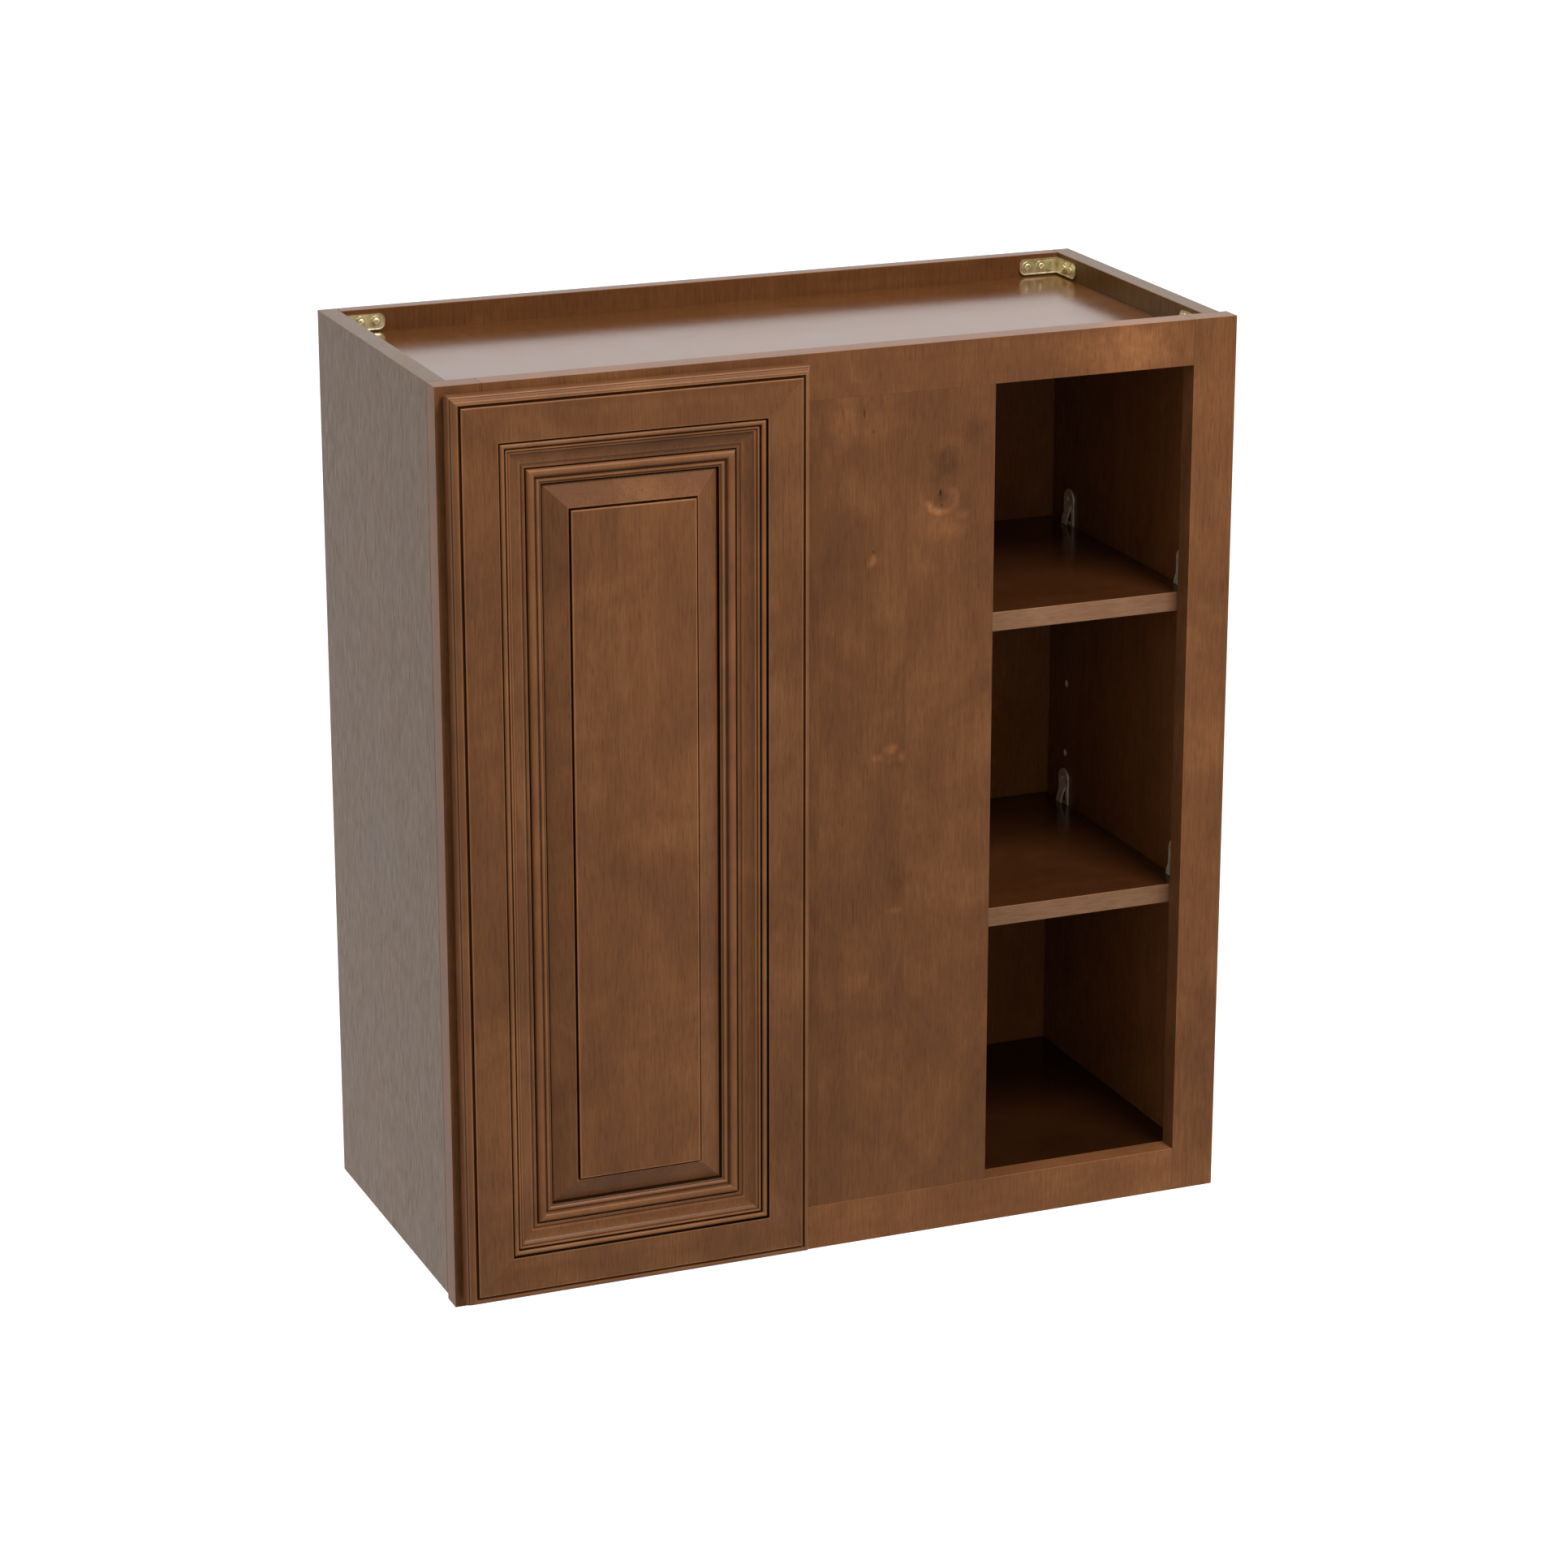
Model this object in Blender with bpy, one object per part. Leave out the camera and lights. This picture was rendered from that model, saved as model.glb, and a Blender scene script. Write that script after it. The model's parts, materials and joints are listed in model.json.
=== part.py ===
"""Wall cabinet for a blind corner: a face-frame box with one raised-panel door on the left,
a fixed blind panel in the middle and an open bay with two adjustable shelves on the right.

Metres, +Z up. The origin is the centre of the back face, which goes against the wall.
+Y points into the wall, the front faces -Y, and +X is to the right seen from the front.
"""
import math

import bmesh
import bpy
from mathutils import Matrix, Vector

INCH = 0.0254
GAP = 0.0003                      # clearance between pieces that touch

# Cabinet outside sizes
WIDTH = 27 * INCH                 # across the face frame
HEIGHT = 30 * INCH                # face frame, bottom to top
DEPTH = 12 * INCH                 # wall to the front of the face frame

# Face frame
FRAME_THICK = 0.75 * INCH
FRAME_MEMBER = 1.5 * INCH         # width of the stiles and rails
BLIND_START = 0.2800              # left edge of the centre stile, from the frame's left edge
BLIND_END = 0.4705                # right edge of the blind panel, where the open bay begins

# Box
SIDE_THICK = 0.625 * INCH
BACK_THICK = 0.5 * INCH
DECK_THICK = 0.5 * INCH           # top and bottom panels
DECK_RECESS = 0.75 * INCH         # top and bottom panels sit this far inside the side panels' ends
SIDE_RISE = 0.0041                # the side panels stop this far above the frame's bottom
FRAME_OVERHANG = 0.0062           # the frame passes the right side panel by this much

# Shelves
SHELF_THICK = 0.625 * INCH
SHELF_BAND = 0.0009               # thickness of the front edge band
SHELF_SIDE_GAP = 0.0022           # room for the clips' plates
SHELF_SETBACK = 0.0008            # behind the face frame
SHELF_BACK_GAP = 0.0015
HOLE_PITCH = 0.064
HOLE_ROWS = 5
HOLE_RADIUS = 0.0025
HOLE_DEPTH = 0.010
HOLE_FRONT = 0.041                # front row of holes, behind the frame's front
HOLE_BACK = 0.258                 # back row of holes
SHELF_ROWS = (0, 4)               # hole rows that carry the two shelves

# Shelf clips
CLIP_PLATE = 0.0012
CLIP_HALF_WIDTH = 0.0095
CLIP_ABOVE = 0.031                # plate height above the shelf's top
CLIP_BELOW = 0.0045               # plate below the pin's axis
CLIP_TONGUE_START = 0.019         # where the spring tongue leaves the plate, above the shelf
CLIP_TONGUE_REACH = 0.0075
CLIP_TONGUE_HALF = 0.0050
CLIP_TAB_REACH = 0.013
CLIP_PIN_LENGTH = 0.009

# Corner brackets
BRACKET_LEG = 0.037
BRACKET_TALL = 0.0135
BRACKET_THICK = 0.0015
BRACKET_INSET = 0.0040            # from the box's top or bottom edge
BRACKET_HOLES = (0.019, 0.0295)   # along each leg from the corner
BRACKET_HOLE_RADIUS = 0.0019

# Door
DOOR_THICK = 0.75 * INCH
DOOR_REVEAL = 0.0062              # frame left showing at the door's left, top and bottom
DOOR_WIDTH = 0.2973
DOOR_STANDOFF = 0.0016            # door back to frame front, set by the bumpers
DOOR_MEMBER = 0.0615              # width of the door's stiles and rails
MOULD_START = 0.0618
MOULD_END = 0.0752
PANEL_STEP = 0.0756               # the panel's front rises past the moulding here
PANEL_FIELD = 0.0980              # the raised field begins here
RABBET_START = 0.0540
RABBET_DEPTH = 0.0042
MITRE_GAP = 0.00022               # taken off each mitred end along the piece
BUMPER_RADIUS = 0.0045
BUMPER_THICK = DOOR_STANDOFF - 2 * GAP
BUMPER_INSET = 0.016

# Hinges
HINGE_HEIGHTS = (0.110, 0.652)    # above the frame's bottom
PIVOT_IN = 0.0063                 # axis, in from the door's left edge
PIVOT_DEEP = 0.0120               # axis, forward of the door's back
CASE_LEFT = 0.0022                # case wall, in from the door's left edge
CASE_WIDE = 0.0358
CASE_TALL = 0.040
CASE_DEEP = 0.0151
CASE_WALL = 0.0007
CASE_RIM_GAP = 0.0002             # case rim, in front of the door's back
FLANGE_FACE_GAP = 0.0001          # the same for the flange
FLANGE_THICK = 0.0010
FLANGE_TALL = 0.056
FLANGE_EXTRA = 0.0060             # flange past the case on the side away from the edge
HINGE_PIN_RADIUS = 0.0010
KNUCKLE_RADIUS = 0.0021
KNUCKLE_BORE = HINGE_PIN_RADIUS + GAP
ARM_THICK = 0.0016
ARM_HALF = 0.0100                 # half the arm's height
ARM_BEND_START = 0.0095           # the bend begins this far to the left of the mounting plate
ARM_BEND_RADIUS = 0.0120
ARM_BEND_STEP = 15                # degrees
PLATE_THICK = 0.0016
PLATE_HALF = 0.0260               # half the mounting plate's height
PLATE_SETBACK = 0.0020            # mounting plate, behind the frame's front
SCREW_SHANK = 0.0017
SCREW_LENGTH = 0.014
SCREW_HEAD = 0.0036
SCREW_HEAD_TALL = 0.0020
SCREW_OFFSET = 0.0180             # screws above and below the arm

EDGE = 0.0005                     # eased edges of boards
FINE_EDGE = 0.0002                # the same where boards are glued edge to edge, and on edge band
CUT_PAST = 0.005                  # how far a cutter reaches past the face it cuts

LEFT = -WIDTH / 2
RIGHT = WIDTH / 2
BOTTOM = -HEIGHT / 2
TOP = HEIGHT / 2
FRONT = -DEPTH
FRAME_BACK = FRONT + FRAME_THICK
SIDE_OUT_R = RIGHT - FRAME_OVERHANG
INNER_L = LEFT + SIDE_THICK
INNER_R = SIDE_OUT_R - SIDE_THICK
BOX_BOTTOM = BOTTOM + SIDE_RISE
BACK_FACE = -BACK_THICK
BOX_FRONT = FRAME_BACK + GAP
DECK_TOP_HIGH = TOP - DECK_RECESS
DECK_LOW = BOX_BOTTOM + DECK_RECESS
DOOR_L = LEFT + DOOR_REVEAL
DOOR_R = DOOR_L + DOOR_WIDTH
DOOR_B = BOTTOM + DOOR_REVEAL
DOOR_T = TOP - DOOR_REVEAL
DOOR_BACK = FRONT - DOOR_STANDOFF
PIVOT = Vector((DOOR_L + PIVOT_IN, DOOR_BACK - PIVOT_DEEP, 0.0))

MAPLE = (0.165, 0.070, 0.030, 1.0)
MAPLE_LIGHT = (0.210, 0.100, 0.050, 1.0)
BRASS = (0.62, 0.50, 0.22, 1.0)
NICKEL = (0.55, 0.54, 0.50, 1.0)
STEEL = (0.48, 0.48, 0.47, 1.0)
RUBBER = (0.55, 0.55, 0.52, 1.0)


def clear_scene():
    for obj in list(bpy.data.objects):
        bpy.data.objects.remove(obj, do_unlink=True)


def finish_object(obj, color, roughness=0.45, metallic=0.0):
    """Give the object a material of its own and smooth shading with sharp edges kept."""
    material = bpy.data.materials.new(obj.name + "_finish")
    material.use_nodes = True
    shader = material.node_tree.nodes["Principled BSDF"]
    shader.inputs["Base Color"].default_value = color
    shader.inputs["Roughness"].default_value = roughness
    shader.inputs["Metallic"].default_value = metallic
    obj.data = obj.data.copy()
    obj.data.materials.clear()
    obj.data.materials.append(material)
    obj.data.shade_smooth()
    obj.data.set_sharp_from_angle(angle=math.radians(35))
    return obj


def new_object(name, bm):
    bmesh.ops.recalc_face_normals(bm, faces=bm.faces)
    mesh = bpy.data.meshes.new(name)
    bm.to_mesh(mesh)
    bm.free()
    obj = bpy.data.objects.new(name, mesh)
    bpy.context.scene.collection.objects.link(obj)
    return obj


def add_box(bm, low, high):
    """Add a box between two corners."""
    size = Vector(high) - Vector(low)
    centre = (Vector(high) + Vector(low)) / 2
    made = bmesh.ops.create_cube(bm, size=1.0)
    bmesh.ops.scale(bm, vec=size, verts=made["verts"])
    bmesh.ops.translate(bm, vec=centre, verts=made["verts"])


def add_rod(bm, centre, axis, radius, length, sides=16):
    """Add a solid cylinder with its middle at centre, along X, Y or Z."""
    turn = {"X": Matrix.Rotation(math.pi / 2, 4, "Y"),
            "Y": Matrix.Rotation(math.pi / 2, 4, "X"),
            "Z": Matrix.Identity(4)}[axis]
    bmesh.ops.create_cone(bm, cap_ends=True, segments=sides, radius1=radius, radius2=radius,
                          depth=length, matrix=Matrix.Translation(centre) @ turn)


def add_prism(bm, outline, along, start, end):
    """Extrude a closed 2-D outline along X (outline in y, z), Y (x, z) or Z (x, y)."""
    def place(point, height):
        return {"X": Vector((height, point[0], point[1])),
                "Y": Vector((point[0], height, point[1])),
                "Z": Vector((point[0], point[1], height))}[along]
    low = [bm.verts.new(place(p, start)) for p in outline]
    high = [bm.verts.new(place(p, end)) for p in outline]
    bm.faces.new(low)
    bm.faces.new(list(reversed(high)))
    count = len(outline)
    for i in range(count):
        j = (i + 1) % count
        bm.faces.new((low[i], high[i], high[j], low[j]))


def board(name, low, high, color, edge=EDGE, roughness=0.45):
    """A plain board with eased edges."""
    bm = bmesh.new()
    add_box(bm, low, high)
    obj = new_object(name, bm)
    if edge:
        bevel = obj.modifiers.new("eased_edges", "BEVEL")
        bevel.width = edge
        bevel.segments = 1
    return finish_object(obj, color, roughness)


def combine(obj, bm, operation, label):
    """Cut, or join on, the shape in bm with a Boolean modifier."""
    tool = new_object(obj.name + "_" + label, bm)
    tool.hide_render = True
    tool.display_type = "WIRE"
    boolean = obj.modifiers.new(label, "BOOLEAN")
    boolean.operation = operation
    boolean.solver = "EXACT"
    boolean.object = tool
    return tool


def bake(obj):
    """Return the evaluated mesh, and remove the object and its Boolean tools."""
    bpy.context.view_layer.update()
    graph = bpy.context.evaluated_depsgraph_get()
    mesh = bpy.data.meshes.new_from_object(obj.evaluated_get(graph))
    for modifier in obj.modifiers:
        if modifier.type == "BOOLEAN":
            bpy.data.objects.remove(modifier.object, do_unlink=True)
    bpy.data.objects.remove(obj, do_unlink=True)
    return mesh


def arc(centre, radius_s, radius_d, start, end, steps):
    """Points of an elliptic arc in (s, d), angles in degrees."""
    points = []
    for i in range(steps + 1):
        angle = math.radians(start + (end - start) * i / steps)
        points.append((centre[0] + radius_s * math.cos(angle), centre[1] + radius_d * math.sin(angle)))
    return points


# ---------------------------------------------------------------- box and face frame

def build_box():
    hole_x = {"left": INNER_L, "right": INNER_R}
    spans = {"left": (LEFT, INNER_L), "right": (INNER_R, SIDE_OUT_R)}
    for side, (x0, x1) in spans.items():
        panel = board("side_panel_" + side, (x0, BOX_FRONT, BOX_BOTTOM), (x1, 0.0, TOP), MAPLE)
        bm = bmesh.new()
        for z in hole_heights():
            for y in (FRONT + HOLE_FRONT, FRONT + HOLE_BACK):
                add_rod(bm, (hole_x[side], y, z), "X", HOLE_RADIUS, 2 * HOLE_DEPTH, 12)
        combine(panel, bm, "DIFFERENCE", "pin_holes")
    inner = (INNER_L + GAP, INNER_R - GAP)
    board("back_panel", (inner[0], BACK_FACE, BOX_BOTTOM), (inner[1], 0.0, TOP), MAPLE)
    deck_y = (BOX_FRONT, BACK_FACE - GAP)
    board("top_panel", (inner[0], deck_y[0], DECK_TOP_HIGH - DECK_THICK),
          (inner[1], deck_y[1], DECK_TOP_HIGH), MAPLE)
    board("bottom_panel", (inner[0], deck_y[0], DECK_LOW),
          (inner[1], deck_y[1], DECK_LOW + DECK_THICK), MAPLE)


def build_face_frame():
    y0, y1 = FRONT, FRAME_BACK
    rail_low = BOTTOM + FRAME_MEMBER
    rail_high = TOP - FRAME_MEMBER
    stile_l = LEFT + FRAME_MEMBER
    stile_r = RIGHT - FRAME_MEMBER
    left = board("frame_stile_left", (LEFT, y0, BOTTOM), (stile_l, y1, TOP), MAPLE)
    board("frame_stile_right", (stile_r, y0, BOTTOM), (RIGHT, y1, TOP), MAPLE)
    board("frame_rail_top", (stile_l + GAP, y0, rail_high), (stile_r - GAP, y1, TOP), MAPLE)
    board("frame_rail_bottom", (stile_l + GAP, y0, BOTTOM), (stile_r - GAP, y1, rail_low), MAPLE)
    low, high = rail_low + GAP, rail_high - GAP
    start = LEFT + BLIND_START
    seam = start + FRAME_MEMBER
    end = LEFT + BLIND_END
    middle = (seam + end) / 2
    board("frame_stile_centre", (start, y0, low), (seam - GAP, y1, high), MAPLE, edge=FINE_EDGE)
    board("blind_board_left", (seam, y0, low), (middle - GAP, y1, high), MAPLE, edge=FINE_EDGE)
    board("blind_board_right", (middle, y0, low), (end, y1, high), MAPLE, edge=FINE_EDGE)
    bm = bmesh.new()
    for z in screw_heights():
        add_rod(bm, (stile_l, hinge_screw_y(), z), "X", SCREW_SHANK + GAP, 2 * SCREW_LENGTH, 12)
    combine(left, bm, "DIFFERENCE", "screw_holes")


def hole_heights():
    middle = BOTTOM + HEIGHT / 2
    half = (HOLE_ROWS - 1) / 2
    return [middle + (row - half) * HOLE_PITCH for row in range(HOLE_ROWS)]


def shelf_bottom(row):
    return hole_heights()[row] + HOLE_RADIUS + GAP


# ---------------------------------------------------------------- shelves and clips

def build_shelves():
    front = BOX_FRONT + SHELF_SETBACK
    back = BACK_FACE - SHELF_BACK_GAP
    x0, x1 = INNER_L + SHELF_SIDE_GAP, INNER_R - SHELF_SIDE_GAP
    for label, row in zip(("lower", "upper"), SHELF_ROWS):
        z0 = shelf_bottom(row)
        z1 = z0 + SHELF_THICK
        board("shelf_" + label, (x0, front + SHELF_BAND + GAP, z0), (x1, back, z1), MAPLE)
        board("shelf_band_" + label, (x0, front, z0), (x1, front + SHELF_BAND, z1), MAPLE_LIGHT,
              edge=FINE_EDGE)


def clip_mesh():
    """A sprung shelf clip on a wall at x = 0, reaching +X, with its pin's axis through z = 0."""
    shelf_low = HOLE_RADIUS + GAP
    shelf_top = shelf_low + SHELF_THICK
    crown = shelf_top + CLIP_ABOVE
    low = -CLIP_BELOW
    bm = bmesh.new()
    outline = [(CLIP_HALF_WIDTH, low), (CLIP_HALF_WIDTH, crown - CLIP_HALF_WIDTH)]
    outline += arc((0.0, crown - CLIP_HALF_WIDTH), CLIP_HALF_WIDTH, CLIP_HALF_WIDTH, 15, 165, 10)
    outline += [(-CLIP_HALF_WIDTH, crown - CLIP_HALF_WIDTH), (-CLIP_HALF_WIDTH, low)]
    add_prism(bm, outline, "X", GAP, GAP + CLIP_PLATE)
    clip = new_object("clip_blank", bm)

    bm = bmesh.new()
    root = GAP + CLIP_PLATE / 2
    foot = shelf_top + GAP
    rise = shelf_top + CLIP_TONGUE_START
    tongue = [(root, rise), (root, rise - 0.002), (CLIP_TONGUE_REACH - 0.0010, foot),
              (CLIP_TONGUE_REACH + 0.0004, foot), (GAP + CLIP_PLATE + 0.0004, rise)]
    add_prism(bm, tongue, "Y", -CLIP_TONGUE_HALF, CLIP_TONGUE_HALF)
    combine(clip, bm, "UNION", "tongue")

    bm = bmesh.new()
    tab_top = shelf_low - GAP
    add_box(bm, (root, -CLIP_TONGUE_HALF, tab_top - CLIP_PLATE), (CLIP_TAB_REACH, CLIP_TONGUE_HALF, tab_top))
    combine(clip, bm, "UNION", "tab")

    bm = bmesh.new()
    pin_radius = HOLE_RADIUS - GAP
    pin_end = GAP + CLIP_PLATE / 2
    add_rod(bm, ((pin_end - CLIP_PIN_LENGTH) / 2, 0.0, 0.0), "X", pin_radius, CLIP_PIN_LENGTH + pin_end, 12)
    combine(clip, bm, "UNION", "pin")
    return bake(clip)


def build_clips():
    mesh = clip_mesh()
    for label, row in zip(("lower", "upper"), SHELF_ROWS):
        z = hole_heights()[row]
        for side, x, turn in (("left", INNER_L, 0.0), ("right", INNER_R, math.pi)):
            for end, y in (("front", FRONT + HOLE_FRONT), ("back", FRONT + HOLE_BACK)):
                clip = bpy.data.objects.new("shelf_clip_%s_%s_%s" % (label, side, end), mesh)
                bpy.context.scene.collection.objects.link(clip)
                clip.location = (x, y, z)
                clip.rotation_euler = (0.0, 0.0, turn)
                finish_object(clip, NICKEL, 0.28, 1.0)


# ---------------------------------------------------------------- corner brackets

def bracket_mesh():
    """An angle plate in a corner at the origin, with legs along +X and -Y."""
    half = BRACKET_TALL / 2
    round_at = BRACKET_LEG - half
    leg = [(GAP, -half)] + arc((round_at, 0.0), half, half, -90, 90, 8) + [(GAP, half)]
    bm = bmesh.new()
    add_prism(bm, leg, "Y", -GAP - BRACKET_THICK, -GAP)
    bracket = new_object("bracket_blank", bm)
    bm = bmesh.new()
    side_leg = [(-along, height) for along, height in leg]
    add_prism(bm, side_leg, "X", GAP, GAP + BRACKET_THICK)
    combine(bracket, bm, "UNION", "side_leg")
    bm = bmesh.new()
    for along in BRACKET_HOLES:
        add_rod(bm, (along, 0.0, 0.0), "Y", BRACKET_HOLE_RADIUS, 6 * BRACKET_THICK, 10)
        add_rod(bm, (0.0, -along, 0.0), "X", BRACKET_HOLE_RADIUS, 6 * BRACKET_THICK, 10)
    combine(bracket, bm, "DIFFERENCE", "holes")
    return bake(bracket)


def build_brackets():
    mesh = bracket_mesh()
    heights = (("top", TOP - BRACKET_INSET - BRACKET_TALL / 2),
               ("bottom", BOX_BOTTOM + BRACKET_INSET + BRACKET_TALL / 2))
    corners = (("back_left", INNER_L, BACK_FACE, 0.0),
               ("back_right", INNER_R, BACK_FACE, -math.pi / 2),
               ("front_right", INNER_R, FRAME_BACK, math.pi),
               ("front_left", INNER_L, FRAME_BACK, math.pi / 2))
    for level, z in heights:
        for corner, x, y, turn in corners:
            bracket = bpy.data.objects.new("bracket_%s_%s" % (level, corner), mesh)
            bpy.context.scene.collection.objects.link(bracket)
            bracket.location = (x, y, z)
            bracket.rotation_euler = (0.0, 0.0, turn)
            finish_object(bracket, BRASS, 0.30, 1.0)


# ---------------------------------------------------------------- door

def member_profile():
    """Door stile or rail in section: (distance in from the door's edge, height over its back)."""
    face = DOOR_THICK
    points = [(0.0006, 0.0), (0.0, 0.0006), (0.0, 0.0085), (0.0013, 0.0090)]
    points += arc((0.0059, 0.0128), 0.0046, 0.0056, 180, 92, 7)                  # rounded outer edge
    points += [(0.0063, 0.0164), (0.0077, 0.0164), (0.0081, face - 0.0004), (0.0085, face)]
    points += [(0.0372, face), (0.0378, face - 0.0022)]                          # flat, then V groove
    points += arc((0.0404, 0.0166), 0.0021, 0.0024, 160, 15, 6)                  # small bead
    points += [(0.0430, 0.0163), (0.0435, 0.0168), (0.0452, 0.0168), (0.0458, 0.0158)]
    points += arc((0.0580, 0.0173), 0.0112, 0.0066, 190, 262, 6)                 # hollow slope
    points += [(0.0579, 0.0100), (0.0584, 0.0103), (0.0606, 0.0103), (0.0611, 0.0094)]
    points += [(DOOR_MEMBER, 0.0092), (DOOR_MEMBER, RABBET_DEPTH)]
    points += [(RABBET_START, RABBET_DEPTH), (RABBET_START, 0.0)]
    return points


def moulding_profile():
    """Applied inner moulding in section."""
    low = RABBET_DEPTH + GAP
    points = [(MOULD_START, low), (MOULD_START, 0.0094)]
    points += arc((0.0654, 0.0094), 0.0034, 0.0031, 172, 8, 8)                   # main bead
    points += [(0.0696, 0.0087), (0.0704, 0.0087), (0.0708, 0.0094), (0.0731, 0.0094)]
    points += [(0.0737, 0.0083), (0.0748, 0.0080), (MOULD_END, 0.0076), (MOULD_END, low)]
    return points


def mitred_piece(name, profile, side, color):
    """Run a section along one side of the door, with mitred ends."""
    upright = side in ("left", "right")
    bm = bmesh.new()
    rings = []
    for end in (0, 1):
        ring = []
        for s, d in profile:
            y = DOOR_BACK - d
            trim = s + MITRE_GAP
            if upright:
                x = DOOR_L + s if side == "left" else DOOR_R - s
                z = DOOR_T - trim if end else DOOR_B + trim
            else:
                x = DOOR_R - trim if end else DOOR_L + trim
                z = DOOR_T - s if side == "top" else DOOR_B + s
            ring.append(bm.verts.new((x, y, z)))
        rings.append(ring)
    count = len(profile)
    bm.faces.new(rings[0])
    bm.faces.new(list(reversed(rings[1])))
    for i in range(count):
        j = (i + 1) % count
        bm.faces.new((rings[0][i], rings[1][i], rings[1][j], rings[0][j]))
    return finish_object(new_object(name, bm), color)


def ring_solid(name, rings, color):
    """A closed rectangular solid from (inset, height) steps, first to last, capped at both ends."""
    bm = bmesh.new()
    loops = []
    for s, d in rings:
        y = DOOR_BACK - d
        corners = ((DOOR_L + s, DOOR_B + s), (DOOR_R - s, DOOR_B + s),
                   (DOOR_R - s, DOOR_T - s), (DOOR_L + s, DOOR_T - s))
        loops.append([bm.verts.new((x, y, z)) for x, z in corners])
    bm.faces.new(loops[0])
    bm.faces.new(list(reversed(loops[-1])))
    for lower, upper in zip(loops, loops[1:]):
        for i in range(4):
            j = (i + 1) % 4
            bm.faces.new((lower[i], upper[i], upper[j], lower[j]))
    return finish_object(new_object(name, bm), color)


def build_door():
    pieces = []
    for side in ("left", "right", "top", "bottom"):
        kind = "stile" if side in ("left", "right") else "rail"
        pieces.append(mitred_piece("door_%s_%s" % (kind, side), member_profile(), side, MAPLE))
        pieces.append(mitred_piece("door_moulding_" + side, moulding_profile(), side, MAPLE))
    tongue_top = RABBET_DEPTH - GAP
    panel_rings = [(RABBET_START + GAP, 0.0008), (RABBET_START + GAP, tongue_top),
                   (PANEL_STEP, tongue_top), (PANEL_STEP, 0.0072),
                   (0.0953, 0.0140), (0.0960, 0.0138), (0.0964, 0.0152), (0.0970, 0.0158),
                   (PANEL_FIELD, 0.0160)]
    pieces.append(ring_solid("door_panel", panel_rings, MAPLE))

    stile = next(piece for piece in pieces if piece.name == "door_stile_left")
    bm = bmesh.new()
    for z in hinge_heights():
        add_box(bm, (case_left() - GAP, DOOR_BACK - CASE_DEEP - GAP, z - CASE_TALL / 2 - GAP),
                (case_right() + GAP, DOOR_BACK + CUT_PAST, z + CASE_TALL / 2 + GAP))
    combine(stile, bm, "DIFFERENCE", "case_pockets")
    bm = bmesh.new()
    for z in hinge_heights():
        add_box(bm, (case_left() - GAP, DOOR_BACK - FLANGE_THICK - GAP, z - FLANGE_TALL / 2 - GAP),
                (case_right() + FLANGE_EXTRA + GAP, DOOR_BACK + CUT_PAST, z + FLANGE_TALL / 2 + GAP))
    combine(stile, bm, "DIFFERENCE", "flange_pockets")

    for level, z in (("top", DOOR_T - BUMPER_INSET), ("bottom", DOOR_B + BUMPER_INSET)):
        bm = bmesh.new()
        add_rod(bm, (DOOR_R - BUMPER_INSET, DOOR_BACK + GAP + BUMPER_THICK / 2, z), "Y",
                BUMPER_RADIUS, BUMPER_THICK, 20)
        pieces.append(finish_object(new_object("bumper_" + level, bm), RUBBER, 0.6))
    return pieces


# ---------------------------------------------------------------- hinges

def hinge_heights():
    return [BOTTOM + height for height in HINGE_HEIGHTS]


def screw_heights():
    return [z + sign * SCREW_OFFSET for z in hinge_heights() for sign in (-1, 1)]


def hinge_screw_y():
    return FRONT + FRAME_THICK / 2


def case_left():
    return DOOR_L + CASE_LEFT


def case_right():
    return case_left() + CASE_WIDE


def arm_line():
    """Middle line of the arm: from the knuckle, along the case floor, out and round the stile."""
    plate_x = LEFT + FRAME_MEMBER + GAP + PLATE_THICK / 2
    low_y = PIVOT.y - KNUCKLE_RADIUS + ARM_THICK / 2 + 0.0001
    bend_x = plate_x - ARM_BEND_START
    line = [(PIVOT.x, low_y), (bend_x, low_y)]
    for i in range(1, 6):
        angle = math.radians(ARM_BEND_STEP * i)
        line.append((bend_x + ARM_BEND_RADIUS * math.sin(angle),
                     low_y + ARM_BEND_RADIUS * (1 - math.cos(angle))))
    line.append((plate_x + 0.0026, FRONT - 0.0020))
    line.append((plate_x, FRONT + 0.0030))
    line.append((plate_x, FRONT + 0.0100))
    return line


def thick_line(line, thickness):
    """Closed outline of a bent strip around a middle line."""
    sides = ([], [])
    for i, point in enumerate(line):
        before = Vector(line[max(i - 1, 0)])
        after = Vector(line[min(i + 1, len(line) - 1)])
        run = (after - before).normalized()
        normal = Vector((-run.y, run.x))
        sides[0].append(Vector(point) + normal * thickness / 2)
        sides[1].append(Vector(point) - normal * thickness / 2)
    return [tuple(p) for p in sides[0] + list(reversed(sides[1]))]


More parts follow.
